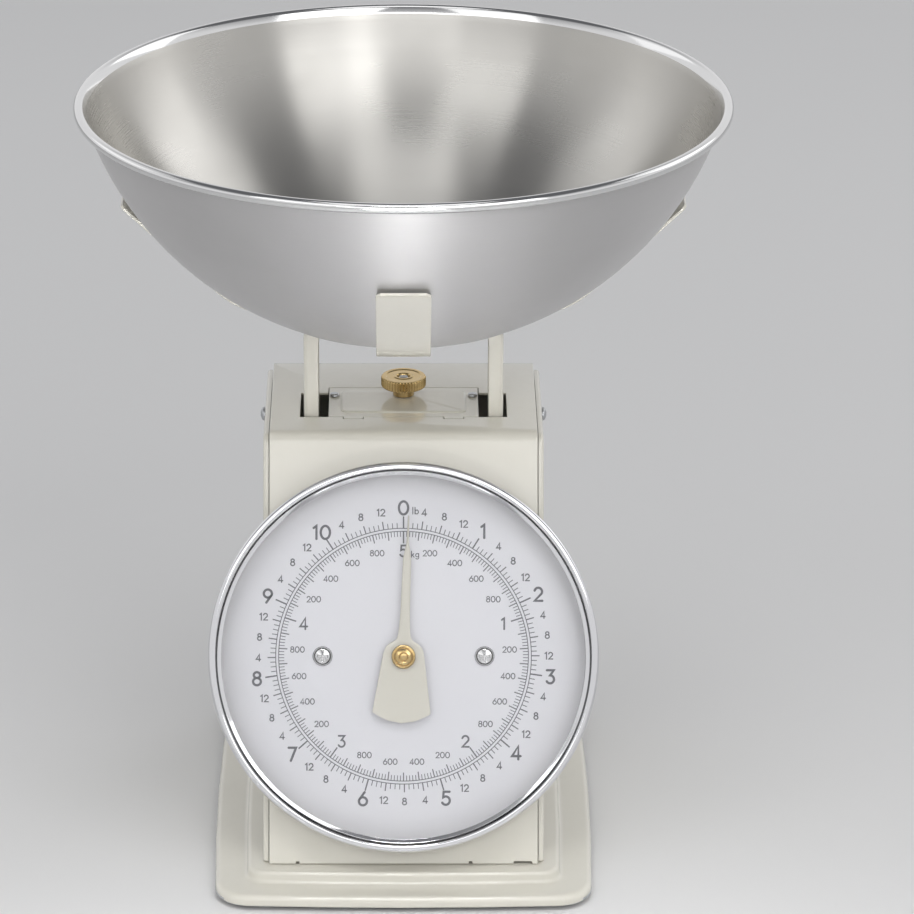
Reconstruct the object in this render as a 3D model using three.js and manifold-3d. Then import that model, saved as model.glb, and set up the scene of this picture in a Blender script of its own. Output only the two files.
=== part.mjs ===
// A mechanical kitchen scale: a sloping steel housing with a round dial, and a bowl on a sprung platform.
// Millimetres, +Z up, the dial looks to -Y. The origin is on the table, under the bowl's centre line.
import * as THREE from "three";
import { mergeVertices } from "three/addons/utils/BufferGeometryUtils.js";
import Module from "manifold-3d";

const wasm = await Module();
wasm.setup();

// ---- driving dimensions ----
const GAP = 0.3; // between touching pieces
const SHEET = 1; // housing sheet steel
const RAD = Math.PI / 180;

const foot = { radius: 7, height: 2, inset: 17 };
const base = { halfWidth: 70.5, front: -107, back: 77, lip: 4, step: 4, corner: 14, margin: 12, sheet: 1.2 };
const plinthTop = foot.height + base.lip + base.step;
const housing = { halfWidth: 49.3, top: 157.1, topFront: -28.3, topBack: 45.8, bend: 3 };
housing.lean = 22; // degrees back from upright, for the front
housing.backLean = 6; // the rear
housing.bottom = plinthTop + GAP;
const cover = { inset: 1.6, thick: 2, bevel: 0.8 };

const slot = { inner: 28.1, outer: 38.3, front: -12.2, back: 12.4 };
const insert = { halfWidth: slot.inner - GAP, back: 17.6, tabX: 18.6, tabWidth: 7, tabDepth: 1.6 };
const knobY = 9.3; // zero knob and spring line, behind the bowl's centre
const knob = { radius: 8.4, groove: 0.3, ridges: 36, neck: 3.5, high: 7.5, collar: 4, lift: 0.7 };
knob.bottom = housing.top + 0.4 + GAP;

const dial = { y: -59, z: 81.1, radius: 67.6, screwX: 29.7 };
const pan = { radius: 70.2, sheet: 0.8, depth: 9 };
const bezel = { radius: 71.3, sheet: 0.8, back: 2.5, crest: 13.4, mouth: 66.5 };
const lens = { radius: 70.1, back: 9.3, thick: 1.4, dome: 0.6 };
const shaftRadius = 1;
const pointerAngle = -2.1; // degrees; the unloaded pointer stands just past zero
const pointer = { tip: 51.8, neck: 36, point: 41.5, tail: 24.6, back: 5.2, thick: 0.8 };

const gear = { module: 0.5, teeth: 10, back: -16, front: -12, slack: 0.2, addendum: 0.32, dedendum: 0.62 };
gear.radius = (gear.module * gear.teeth) / 2;
const rackPlate = { back: -15.5, front: -12.5, width: 4, low: -3, high: 31.2, toothTop: 19 };
const tongue = { front: -35.5, back: -19.5, low: 103.6, high: 105.1 };

const rim = { z: 275, bead: 2, radius: 120 };
const bowl = { sphere: 121.5, centre: rim.z + 34.3, depth: 78.5, foot: 44, sheet: 0.8 };
const cradle = { width: 19.5, sheet: 1.2, tip: 103, bend: 62, flat: 45, contact: 83.5 };
cradle.top = rim.z - bowl.depth - GAP - 0.2;

const leg = { inner: 31.4, outer: 36.9, half: 11, bottom: 50, sheet: 1.2, depth: 5.5 };
const frameTop = cradle.top - cradle.sheet - GAP;
const crossbar = { z: 98, thick: 3, reach: 35.4 };
const lever = { length: 38, half: 7.25, armX: 27.5, sheet: 2, upperPin: 122, lowerPin: 62, rod: 1.5 };
const spring = { x: 12, radius: 4, wire: 0.8, coils: 9, bottom: 101.3, top: 140.9 };

// ---- solids and meshes ----
const V2 = (x, y) => new THREE.Vector2(x, y);

function solid(geometry) {
  const bare = new THREE.BufferGeometry();
  const flat = geometry.index ? geometry.toNonIndexed() : geometry;
  bare.setAttribute("position", flat.getAttribute("position"));
  const merged = mergeVertices(bare, 1e-4);
  const index = merged.index.array;
  const kept = [];
  for (let i = 0; i < index.length; i += 3) {
    const [a, b, c] = [index[i], index[i + 1], index[i + 2]];
    if (a !== b && b !== c && c !== a) kept.push(a, b, c);
  }
  const vertProperties = merged.attributes.position.array;
  return new wasm.Manifold(new wasm.Mesh({ numProp: 3, vertProperties, triVerts: new Uint32Array(kept) }));
}

function geometryOf(body) {
  const mesh = body.getMesh();
  const geometry = new THREE.BufferGeometry();
  geometry.setAttribute("position", new THREE.BufferAttribute(mesh.vertProperties.slice(), 3));
  geometry.setIndex(new THREE.BufferAttribute(mesh.triVerts.slice(), 1));
  geometry.computeVertexNormals();
  return geometry;
}

// A box between two corners.
function box(low, high) {
  const size = high.map((h, i) => h - low[i]);
  const middle = high.map((h, i) => (h + low[i]) / 2);
  return solid(new THREE.BoxGeometry(...size).translate(...middle));
}

// A turned solid about Z: profile points are (radius, height), round the section anticlockwise.
function turned(profile, segments = 32) {
  const closed = profile[0][0] < 1e-6 ? profile : [...profile, profile[0]];
  const geometry = new THREE.LatheGeometry(closed.map(([r, h]) => V2(r, h)), segments);
  return solid(geometry.rotateX(Math.PI / 2));
}

// A ring or a cylinder about Z.
const ring = (inner, outer, low, high, segments = 24) =>
  turned(
    inner > 0
      ? [[inner, low], [outer, low], [outer, high], [inner, high]]
      : [[0, low], [outer, low], [outer, high], [0, high]],
    segments,
  );

// A rod along X.
const rodX = (radius, halfLength, y, z, segments = 16) =>
  ring(0, radius, -halfLength, halfLength, segments).rotate([0, 90, 0]).translate(0, y, z);

function extruded(shape, depth, options = {}) {
  const plain = { depth, bevelEnabled: false, curveSegments: 6 };
  return solid(new THREE.ExtrudeGeometry(shape, { ...plain, ...options }));
}

// A YZ outline carried along X between two places.
function alongX(points, from, to, options = {}) {
  const shape = new THREE.Shape(points.map(([y, z]) => V2(y, z)));
  const geometry = new THREE.ExtrudeGeometry(shape, { depth: to - from, bevelEnabled: false, ...options });
  geometry.applyMatrix4(new THREE.Matrix4().makeBasis(
    new THREE.Vector3(0, 1, 0), new THREE.Vector3(0, 0, 1), new THREE.Vector3(1, 0, 0),
  ));
  return solid(geometry.translate(from, 0, 0));
}

const unite = (...bodies) => bodies.reduce((a, b) => a.add(b));
const cut = (body, ...tools) => tools.reduce((a, b) => a.subtract(b), body);

const finishes = {
  cream: { color: 0xdcd9cc, roughness: 0.45, metalness: 0 },
  steel: { color: 0xc6c6c8, roughness: 0.3, metalness: 1 },
  chrome: { color: 0xe4e4e6, roughness: 0.08, metalness: 1 },
  brass: { color: 0xc9a252, roughness: 0.25, metalness: 1 },
  zinc: { color: 0xa9abad, roughness: 0.4, metalness: 1 },
  white: { color: 0xf1f1f4, roughness: 0.5, metalness: 0 },
  clear: { color: 0xffffff, roughness: 0.02, metalness: 0 },
  rubber: { color: 0x2a2a2a, roughness: 0.9, metalness: 0 },
};

const scale = new THREE.Group();
const dialFrame = new THREE.Group(); // its Z leaves the panel squarely, its Y runs up the slope
dialFrame.position.set(0, dial.y, dial.z);
dialFrame.rotation.x = (90 - housing.lean) * RAD;
scale.add(dialFrame);

function place(name, body, finish, parent = scale) {
  const mesh = new THREE.Mesh(geometryOf(body), new THREE.MeshStandardMaterial(finishes[finish]));
  mesh.name = name;
  parent.add(mesh);
  return mesh;
}

// ---- base ----
// A rectangle with round corners, in XY.
function plate(halfWidth, front, back, corner) {
  const s = new THREE.Shape();
  s.moveTo(-halfWidth + corner, front);
  s.absarc(halfWidth - corner, front + corner, corner, -Math.PI / 2, 0);
  s.absarc(halfWidth - corner, back - corner, corner, 0, Math.PI / 2);
  s.absarc(-halfWidth + corner, back - corner, corner, Math.PI / 2, Math.PI);
  s.absarc(-halfWidth + corner, front + corner, corner, Math.PI, 1.5 * Math.PI);
  return s;
}

// The same plate, inset all round, between two heights, with a rounded top edge.
function slab(inset, low, high, round = 0) {
  const shape = plate(base.halfWidth - inset - round, base.front + inset + round, base.back - inset - round,
    Math.max(base.corner - inset * 0.6 - round, 3));
  const body = extruded(shape, high - low - round, {
    bevelEnabled: round > 0, bevelSize: round, bevelThickness: round, bevelSegments: 2,
  }).translate(0, 0, low);
  if (round === 0) return body;
  const reach = 200;
  return body.intersect(box([-reach, -reach, low], [reach, reach, high + 1]));
}

function makeBase() {
  const lipTop = foot.height + base.lip;
  const low = foot.height - 1;
  const shell = cut(
    unite(slab(0, foot.height, lipTop, 2), slab(base.margin, foot.height, plinthTop, 1.5)),
    slab(base.sheet, low, lipTop - base.sheet),
    slab(base.margin + base.sheet, low, plinthTop - base.sheet),
  );
  place("base_pan", shell, "cream");
  const closing = slab(base.sheet + GAP, foot.height + GAP, foot.height + GAP + SHEET);
  place("bottom_plate", closing, "zinc");
  const footX = base.halfWidth - foot.inset;
  const places = [
    ["front_left", -footX, base.front + foot.inset],
    ["front_right", footX, base.front + foot.inset],
    ["rear_left", -footX, base.back - foot.inset],
    ["rear_right", footX, base.back - foot.inset],
  ];
  const pad = turned([[0, 0], [foot.radius - 1, 0], [foot.radius, 0.8], [foot.radius, foot.height],
    [0, foot.height]], 20);
  for (const [name, x, y] of places) place("foot_" + name, pad.translate(x, y, 0), "rubber");
}

// ---- housing ----
const slope = Math.tan(housing.lean * RAD);
const backSlope = Math.tan(housing.backLean * RAD);
const slitHigh = housing.bottom + 0.8;
const slits = [[-39.5, -38.3], [24, 25.2], [40.4, 47.2]]; // along X, open at the foot of the front

// The housing's side outline, inset by a distance, with the two top bends as arcs of a few chords.
function sideOutline(inset, bottom = housing.bottom) {
  const across = inset / Math.cos(housing.lean * RAD);
  const acrossBack = inset / Math.cos(housing.backLean * RAD);
  const top = housing.top - inset;
  const front = (z) => housing.topFront - (housing.top - z) * slope + across;
  const back = (z) => housing.topBack + (housing.top - z) * backSlope - acrossBack;
  const round = Math.max(housing.bend - inset, 0.5);
  const outline = new THREE.Path();
  outline.moveTo(front(bottom), bottom);
  outline.lineTo(front(top - round), top - round);
  outline.quadraticCurveTo(front(top), top, front(top) + round, top);
  outline.lineTo(back(top) - round, top);
  outline.quadraticCurveTo(back(top), top, back(top - round), top - round);
  outline.lineTo(back(bottom), bottom);
  return outline.getPoints(4).map((p) => [p.x, p.y]).reverse();
}

// A tab of the top insert, or with some slack the notch that it lies in.
function tab(x, slack) {
  const half = insert.tabWidth / 2 + slack;
  const low = slot.front - insert.tabDepth - slack;
  return box([x - half, low, housing.top - SHEET - slack], [x + half, slot.front + 2, housing.top + slack]);
}

function makeHousing() {
  const w = housing.halfWidth;
  const wrap = cut(
    alongX(sideOutline(0), -w, w),
    alongX(sideOutline(SHEET, housing.bottom - 5), -w - 1, w + 1),
    box([-slot.outer, slot.front, housing.top - 5], [slot.outer, slot.back, housing.top + 5]),
    box([-slot.inner, slot.back - 1, housing.top - 5], [slot.inner, insert.back + GAP, housing.top + 5]),
    tab(-insert.tabX, GAP),
    tab(insert.tabX, GAP),
    inDial(ring(0, 3.3, -4, 4)),
    ...slits.map(([from, to]) => box([from, -100, housing.bottom - 1], [to, -70, slitHigh])),
  );
  place("housing_wrap", wrap, "cream");

  const sideAt = { upper: [4, 152], lower: [-20, 22] };
  for (const [side, sign] of [["left", -1], ["right", 1]]) {
    const inner = w + GAP;
    const outer = inner + cover.thick;
    let shell = alongX(sideOutline(cover.inset + cover.bevel), inner, outer - cover.bevel, {
      bevelEnabled: true, bevelSize: cover.bevel, bevelThickness: cover.bevel, bevelSegments: 2,
    });
    shell = shell.intersect(box([inner, -300, housing.bottom], [outer + 1, 300, 300]));
    for (const [level, [y, z]] of Object.entries(sideAt)) {
      const hole = ring(0, 1.5, inner - 1, outer + 1, 12).rotate([0, 90, 0]).translate(0, y, z);
      shell = shell.subtract(hole);
      const head = turned([[0, -1.2], [1.2, -1.2], [1.2, cover.thick + GAP], [2.6, cover.thick + GAP],
        [2.2, cover.thick + 1.5], [1.2, cover.thick + 1.9], [0, cover.thick + 2]], 16);
      const screw = head.rotate([0, 90, 0]).translate(inner, y, z);
      place(`side_screw_${level}_${side}`, sign > 0 ? screw : screw.mirror([1, 0, 0]), "zinc");
    }
    place("side_cover_" + side, sign > 0 ? shell : shell.mirror([1, 0, 0]), "cream");
  }
}

function makeTopInsert() {
  const w = insert.halfWidth;
  const top = housing.top;
  const field = extruded(plate(22.5, -7.5, 13.5, 2), 0.3, {
    bevelEnabled: true, bevelSize: 0.7, bevelThickness: 0.3, bevelSegments: 1,
  }).translate(0, 0, top - 0.1);
  let body = unite(
    box([-w, slot.front + GAP, top - SHEET], [w, insert.back, top]),
    tab(-insert.tabX, 0).intersect(box([-w, -50, top - SHEET], [w, slot.front + 2, top])),
    tab(insert.tabX, 0).intersect(box([-w, -50, top - SHEET], [w, slot.front + 2, top])),
    field,
  );
  body = cut(body, ring(0, 2.4, top - 5, top + 5).translate(0, knobY, 0));
  const rivetX = 25.8;
  const rivet = turned([[0, -2.4], [1, -2.4], [1, GAP], [1.9, GAP], [1.2, 0.9], [0, 1.1]], 14);
  for (const [side, sign] of [["left", -1], ["right", 1]]) {
    const x = sign * rivetX;
    body = body.subtract(ring(0, 1.3, top - 5, top + 5, 14).translate(x, knobY, 0));
    place("insert_rivet_" + side, rivet.translate(x, knobY, top), "cream");
  }
  place("top_insert", body, "cream");
}

// ---- dial ----
// Turns a solid of the dial's own frame into the part's frame, for a cut.
function inDial(body) {
  return body.rotate([90 - housing.lean, 0, 0]).translate(0, dial.y, dial.z);
}

function makeDial() {
  const put = (name, body, finish) => place(name, body, finish, dialFrame);
  const hub = 3.3;
  const screwHole = (x, low, high) => ring(0, 1.8, low, high, 14).translate(x, 0, 0);
  const floor = GAP + pan.sheet;
  const wall = turned([
    [hub, GAP], [pan.radius - 1, GAP], [pan.radius, GAP + 1], [pan.radius, pan.depth],
    [pan.radius - pan.sheet, pan.depth], [pan.radius - pan.sheet, floor + 0.6],
    [pan.radius - pan.sheet - 0.6, floor], [hub, floor],
  ], 48);
  put("dial_pan", cut(wall, screwHole(dial.screwX, -1, 3), screwHole(-dial.screwX, -1, 3)), "cream");
  const face = ring(4, dial.radius, floor + GAP, floor + GAP + 0.6, 48);
  const cuts = [screwHole(dial.screwX, 0, 4), screwHole(-dial.screwX, 0, 4)];
  put("dial_plate", cut(face, ...cuts), "white");

  const seat = floor + 2 * GAP + 0.6;
  const cross = unite(box([-2, -0.4, 1.2], [2, 0.4, 4]), box([-0.4, -2, 1.2], [0.4, 2, 4]));
  const head = turned([[0, -1.4], [1.4, -1.4], [1.4, 0], [3.6, 0], [3.5, 0.9], [2.4, 1.7], [0, 2]], 20);
  const screw = head.subtract(cross).translate(0, 0, seat);
  put("dial_screw_left", screw.translate(-dial.screwX, 0, 0), "zinc");
  put("dial_screw_right", screw.translate(dial.screwX, 0, 0), "zinc");

  const r = bezel.radius;
  const t = bezel.sheet;
  const hoop = turned([
    [r - t, bezel.back], [r, bezel.back], [r, 10.5], [r - 0.4, 12.1], [r - 1.7, bezel.crest], [r - 2.6, 13.1],
    [r - 3.4, 12.1], [bezel.mouth, 11.6], [bezel.mouth, 11.1], [r - 2.6, 11.3], [r - t, 10.2],
  ], 48);
  put("bezel", hoop, "chrome");
  const dome = [[0, lens.back], [lens.radius, lens.back], [lens.radius, lens.back + lens.thick - 0.4]];
  for (const share of [0.9, 0.6, 0.3]) {
    dome.push([lens.radius * share, lens.back + lens.thick - 0.4 + lens.dome * (1 - share * share)]);
  }
  dome.push([0, lens.back + lens.thick - 0.4 + lens.dome]);
  put("lens", turned(dome, 48), "clear");
}

// ---- pointer and its gear ----
function pointerShape() {
  const s = new THREE.Shape();
  s.moveTo(-10.4, -20.8);
  s.quadraticCurveTo(-5.5, -pointer.tail, 0, -pointer.tail);
  s.quadraticCurveTo(5.5, -pointer.tail, 10.4, -20.8);
  s.lineTo(7.2, 2);
  s.quadraticCurveTo(6.2, 5.4, 3.4, 6);
  s.quadraticCurveTo(2.2, 6.4, 2.05, 8.5);
  s.lineTo(1.6, 24);
  s.lineTo(1.5, pointer.neck);
  s.lineTo(0.5, pointer.point);
  s.lineTo(0.3, pointer.tip);
  s.lineTo(-0.3, pointer.tip);
  s.lineTo(-0.5, pointer.point);
  s.lineTo(-1.5, pointer.neck);
  s.lineTo(-1.6, 24);
  s.lineTo(-2.05, 8.5);
  s.quadraticCurveTo(-2.2, 6.4, -3.4, 6);
  s.quadraticCurveTo(-6.2, 5.4, -7.2, 2);
  const hole = new THREE.Path();
  hole.absarc(0, 0, shaftRadius + GAP, 0, 2 * Math.PI);
  s.holes.push(hole);
  return s;
}

// Half of a tooth's width at a height over the pitch line, for straight 20 degree flanks.
function toothHalf(height) {
  const pitch = Math.PI * gear.module;
  return pitch / 4 - gear.slack / 2 - height * Math.tan(20 * RAD);
}

function pinionShape() {
  const s = new THREE.Shape();
  for (let i = 0; i < gear.teeth; i += 1) {
    const middle = (2 * Math.PI * i) / gear.teeth;
    const corners = [[-gear.dedendum, -1], [gear.addendum, -1], [gear.addendum, 1], [-gear.dedendum, 1]];
    for (const [height, side] of corners) {
      const r = gear.radius + height;
      const a = middle + (side * toothHalf(height)) / gear.radius;
      if (i === 0 && side < 0 && height < 0) s.moveTo(r * Math.cos(a), r * Math.sin(a));
      else s.lineTo(r * Math.cos(a), r * Math.sin(a));
    }
  }
  const hole = new THREE.Path();
  hole.absarc(0, 0, shaftRadius + GAP, 0, 2 * Math.PI);
  s.holes.push(hole);
  return s;
}

// The rack stands on the pinion's right: its teeth point left, half a pitch out of step with the pinion's.
function rackShape() {
  const pitch = Math.PI * gear.module;
  const right = gear.radius + gear.dedendum + rackPlate.width;
  const root = gear.radius + gear.dedendum;
  const tip = gear.radius - gear.addendum;
  const s = new THREE.Shape();
  s.moveTo(right, rackPlate.low);
  s.lineTo(right, rackPlate.high);
  s.lineTo(root, rackPlate.high);
  const count = Math.floor((rackPlate.toothTop - rackPlate.low) / pitch);
  for (let i = count - 1; i >= 0; i -= 1) {
    const middle = (i - 1) * pitch + pitch / 2;
    s.lineTo(root, middle + toothHalf(-gear.dedendum));
    s.lineTo(tip, middle + toothHalf(gear.addendum));
    s.lineTo(tip, middle - toothHalf(gear.addendum));
    s.lineTo(root, middle - toothHalf(-gear.dedendum));
  }
  s.lineTo(root, rackPlate.low);
  return s;
}

function makeMovement() {
  const put = (name, body, finish) => place(name, body, finish, dialFrame);
  const hand = extruded(pointerShape(), pointer.thick).translate(0, 0, pointer.back);
  put("pointer", hand.rotate([0, 0, pointerAngle]), "cream");
  const nutBack = pointer.back + pointer.thick + GAP;
  const nut = turned([
    [shaftRadius + GAP, nutBack], [4.5, nutBack], [4.5, nutBack + 1.4], [3.9, nutBack + 1.8],
    [3.4, nutBack + 1.8], [3, nutBack + 2.3], [1.5, nutBack + 2.6], [0, nutBack + 2.7], [0, nutBack + 1.6],
    [shaftRadius + GAP, nutBack + 1.6],
  ], 28);
  put("pointer_nut", nut, "brass");
  put("pointer_shaft", ring(0, shaftRadius, -24, nutBack + 1.3, 14), "zinc");
  put("pinion", extruded(pinionShape(), gear.front - gear.back).translate(0, 0, gear.back), "brass");

  put("front_bush", ring(shaftRadius + GAP, 3, -2.4, 1.6, 20), "brass");
  put("rear_bush", ring(shaftRadius + GAP, 3, -23.6, -19, 20), "brass");
  const [half, deep, thick, flange] = [20, -22, 1.5, 10];
  const u = new THREE.Shape([
    V2(-half - flange, -1.3), V2(-half - flange, -2.8), V2(-half, -2.8), V2(-half, deep), V2(half, deep),
    V2(half, -2.8), V2(half + flange, -2.8), V2(half + flange, -1.3), V2(half - thick, -1.3),
    V2(half - thick, deep + thick), V2(-half + thick, deep + thick), V2(-half + thick, -1.3),
  ]);
  const channel = extruded(u, 24).rotate([90, 0, 0]).translate(0, 12, 0);
  put("movement_bracket", channel.subtract(ring(0, 3.3, deep - 1, deep + 3, 20)), "zinc");
  const guideX = gear.radius + gear.dedendum + rackPlate.width + GAP;
  const guide = box([guideX, -4, rackPlate.back - 1], [half - thick - GAP, 4, rackPlate.front + 1]);
  put("rack_guide", guide, "brass");

  const bar = inDial(extruded(rackShape(), rackPlate.front - rackPlate.back).translate(0, 0, rackPlate.back));
  const left = gear.radius + gear.dedendum;
  const right = left + rackPlate.width;
  const arm = box([left, tongue.front, tongue.low], [right, tongue.back, tongue.high]);
  place("rack", unite(bar, arm), "brass");
}

// ---- platform ----
// The cradle arm's outline in a vertical plane: out along the plate, then up and out, touching the bowl.
function armOutline() {
  const slopeAngle = Math.asin(cradle.contact / bowl.sphere);
  const reach = bowl.sphere + GAP;
  const touch = [reach * Math.sin(slopeAngle), bowl.centre - reach * Math.cos(slopeAngle)];
  const line = (r) => touch[1] + (r - touch[0]) * Math.tan(slopeAngle);
  const inner = [
    [0, cradle.top], [cradle.flat, cradle.top],
    [cradle.bend, line(cradle.bend)], [cradle.tip, line(cradle.tip)],
  ];
  const t = cradle.sheet;
  const side = [t * Math.sin(slopeAngle), t * Math.cos(slopeAngle)];
  const outer = [
    [cradle.tip + side[0], line(cradle.tip) - side[1]], [cradle.bend + side[0], line(cradle.bend) - side[1]],
    [cradle.flat + 0.3, cradle.top - t], [0, cradle.top - t],
  ];
  return [...inner, ...outer].reverse();
}

function makePlatform() {
  const w = cradle.width / 2;
  const arm = alongX(armOutline(), -w, w);
  let cross = arm;
  for (const turn of [90, 180, 270]) cross = cross.add(arm.rotate([0, 0, turn]));
  cross = cross.add(ring(0, 24, cradle.top - cradle.sheet, cradle.top, 24));
  const rivetX = 15;
  const hole = (x) => ring(0, 1.8, frameTop - 5, cradle.top + 1, 14).translate(x, 0, 0);
  place("cradle", cut(cross, hole(rivetX), hole(-rivetX)), "cream");

  const t = leg.sheet;
  const bridge = box([-leg.outer, -leg.half, frameTop - t], [leg.outer, leg.half, frameTop]);
  const web = box([leg.outer - t, -leg.half, leg.bottom], [leg.outer, leg.half, frameTop]);
  const front = box([leg.inner, -leg.half, leg.bottom], [leg.outer, -leg.half + t, frameTop]);
  const rear = box([leg.inner, leg.half - t, leg.bottom], [leg.outer, leg.half, frameTop]);
  let right = unite(web, front, rear);
  for (const z of [lever.upperPin, lever.lowerPin]) {
    right = right.subtract(rodX(lever.rod + GAP, 45, 0, z));
  }
  const lip = box([-leg.outer, -leg.half, frameTop - leg.depth], [leg.outer, -leg.half + t, frameTop]);
  const frame = unite(bridge, lip, lip.mirror([0, 1, 0]), right, right.mirror([1, 0, 0]));
  place("platform_frame", cut(frame, hole(rivetX), hole(-rivetX)), "cream");
  const rivet = turned([[0, frameTop - t - 1.6], [2, frameTop - t - 1.4], [2.8, frameTop - t - GAP],
    [1.5, frameTop - t - GAP], [1.5, cradle.top - 0.1], [0, cradle.top - 0.1]], 14);
  place("cradle_rivet_left", rivet.translate(-rivetX, 0, 0), "zinc");
  place("cradle_rivet_right", rivet.translate(rivetX, 0, 0), "zinc");

  const top = crossbar.z + crossbar.thick;
  const [armX, tine] = [8, 1.5];
  const yoke = [-30.5, -27];
  const bar = unite(
    box([-crossbar.reach, -9.4, crossbar.z], [crossbar.reach, 9.4, top]),
    box([-20, -6, crossbar.z], [20, 14, top]),
    box([armX, yoke[0], crossbar.z], [armX + 3, -6, tongue.high + GAP + tine]),
    box([2.2, yoke[0], tongue.high + GAP], [armX + 1, yoke[1], tongue.high + GAP + tine]),
    box([2.2, yoke[0], tongue.low - GAP - tine], [armX + 1, yoke[1], tongue.low - GAP]),
  );
  place("crossbar", bar, "zinc");
  place("upper_link_rod", rodX(lever.rod, 38.4, 0, lever.upperPin), "zinc");
  place("lower_link_rod", rodX(lever.rod, 38.4, 0, lever.lowerPin), "zinc");
}

// A guide lever: two arms and a web, hung on a rod behind and slotted for the platform's rod in front.
function makeLever(name, pinZ) {
  const start = Math.atan(lever.half / lever.length);
  const pivot = [lever.length, pinZ - lever.half];
  const radial = lever.length / Math.cos(start);
  const arms = [-1, 1].map((sign) => {
    const [a, b] = [lever.armX * sign, (lever.armX + lever.sheet) * sign];
    return box([Math.min(a, b), -radial - 4, -3.5], [Math.max(a, b), 3.5, 3.5]);
  });
  const web = box([-lever.armX - 0.5, -16, -1], [lever.armX + 0.5, -8, 1]);
  const clear = lever.rod + GAP;
  const pin = -(lever.length + radial) / 2;
  const opening = unite(
    rodX(clear, 40, pin - 0.6, 0), rodX(clear, 40, pin + 0.6, 0),
    box([-40, pin - 0.6, -clear], [40, pin + 0.6, clear]),
  );
  const flat = cut(unite(...arms, web), rodX(clear, 40, 0, 0), opening);
  const turnedUp = flat.rotate([-start / RAD, 0, 0]).translate(0, pivot[0], pivot[1]);
  place(name, turnedUp, "zinc");
}

function makeGuides() {
  makeLever("upper_lever", lever.upperPin);
  makeLever("lower_lever", lever.lowerPin);
  const [x, thick] = [31.2, 1.5];
  const pivots = [lever.upperPin - lever.half, lever.lowerPin - lever.half];
  const low = plinthTop + GAP;
  let bracket = box([-x - thick, 33, low], [x + thick, 43, low + thick]);
  for (const sign of [-1, 1]) {
    const [a, b] = [x * sign, (x + thick) * sign];
    bracket = bracket.add(box([Math.min(a, b), 33, low], [Math.max(a, b), 43, pivots[0] + 6]));
  }
  for (const z of pivots) bracket = bracket.subtract(rodX(lever.rod + GAP, 45, lever.length, z));
  place("pivot_bracket", bracket, "zinc");
  place("upper_pivot_rod", rodX(lever.rod, 34, lever.length, pivots[0]), "zinc");
  place("lower_pivot_rod", rodX(lever.rod, 34, lever.length, pivots[1]), "zinc");
}

// ---- springs and zero adjuster ----
class Helix extends THREE.Curve {
  getPoint(t, target = new THREE.Vector3()) {
    const a = 2 * Math.PI * spring.coils * t;
    const z = spring.bottom + spring.wire + (spring.top - spring.bottom - 2 * spring.wire) * t;
    return target.set(spring.radius * Math.cos(a), spring.radius * Math.sin(a), z);
  }
}

function makeSprings() {
  const wire = new THREE.Shape();
  wire.absarc(0, 0, spring.wire, 0, 2 * Math.PI);
  const coil = extruded(wire, 1, { extrudePath: new Helix(), steps: spring.coils * 8, curveSegments: 3 });
  place("spring_left", coil.translate(-spring.x, knobY, 0), "steel");
  place("spring_right", coil.translate(spring.x, knobY, 0), "steel");
  const low = spring.top + GAP + knob.lift;
  const high = low + 2;
  place("spring_hanger", box([-17, knobY - 4.3, low], [17, knobY + 4.3, high]), "zinc");
  const knobTop = knob.bottom + knob.high;
  place("zero_stud", ring(0, 2, high + GAP, knobTop - 0.2, 18).translate(0, knobY, 0), "zinc");

  const s = new THREE.Shape();
  for (let i = 0; i < 2 * knob.ridges; i += 1) {
    const a = (Math.PI * i) / knob.ridges;
    const r = knob.radius - (i % 2) * knob.groove;
    if (i === 0) s.moveTo(r, 0);
    else s.lineTo(r * Math.cos(a), r * Math.sin(a));
  }
  const disc = extruded(s, knob.high - knob.neck).translate(0, 0, knob.bottom + knob.neck);
  const collar = ring(0, knob.collar, knob.bottom, knob.bottom + knob.neck + 0.5, 24);
  const threaded = unite(disc, collar).subtract(ring(0, 2 + GAP, knob.bottom - 1, knobTop + 1, 18));
  place("zero_knob", threaded.translate(0, knobY, 0), "brass");
}

// ---- bowl ----
function makeBowl() {
  const arc = (radius, from, to, steps) => Array.from({ length: steps + 1 }, (_, i) => {
    const a = from + ((to - from) * i) / steps;
    return [radius * Math.sin(a), bowl.centre - radius * Math.cos(a)];
  });
  const bottom = rim.z - bowl.depth;
  const inner = bowl.sphere - bowl.sheet;
  const start = Math.asin((bowl.foot + 9) / bowl.sphere);
  const end = Math.acos((bowl.centre - rim.z + 1) / bowl.sphere);
  const beadAt = rim.radius - rim.bead;
  const bead = Array.from({ length: 8 }, (_, i) => {
    const a = (-120 + 38 * i) * RAD;
    return [beadAt + rim.bead * Math.cos(a), rim.z + rim.bead * Math.sin(a)];
  });
  const profile = [
    [0, bottom], [bowl.foot, bottom], [bowl.foot + 4.5, bottom + 0.8], ...arc(bowl.sphere, start, end, 9),
    ...bead, ...arc(inner, end - 0.004, start, 9), [bowl.foot + 4.2, bottom + bowl.sheet + 0.8],
    [bowl.foot - 0.3, bottom + bowl.sheet], [0, bottom + bowl.sheet],
  ];
  place("bowl", turned(profile, 48), "steel");
}

makeBase();
makeHousing();
makeTopInsert();
makeDial();
makeMovement();
makePlatform();
makeGuides();
makeSprings();
makeBowl();

export default scale;
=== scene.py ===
# %% [markdown]
# # A mechanical kitchen scale
# The scale weighs what lies in its steel bowl. The bowl presses a sprung platform down, and a rack
# inside turns the pointer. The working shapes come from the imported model, which is loaded first and
# never changed. This lesson gives them skins with the right curves, and then their finishes.

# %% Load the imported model
import math

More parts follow.
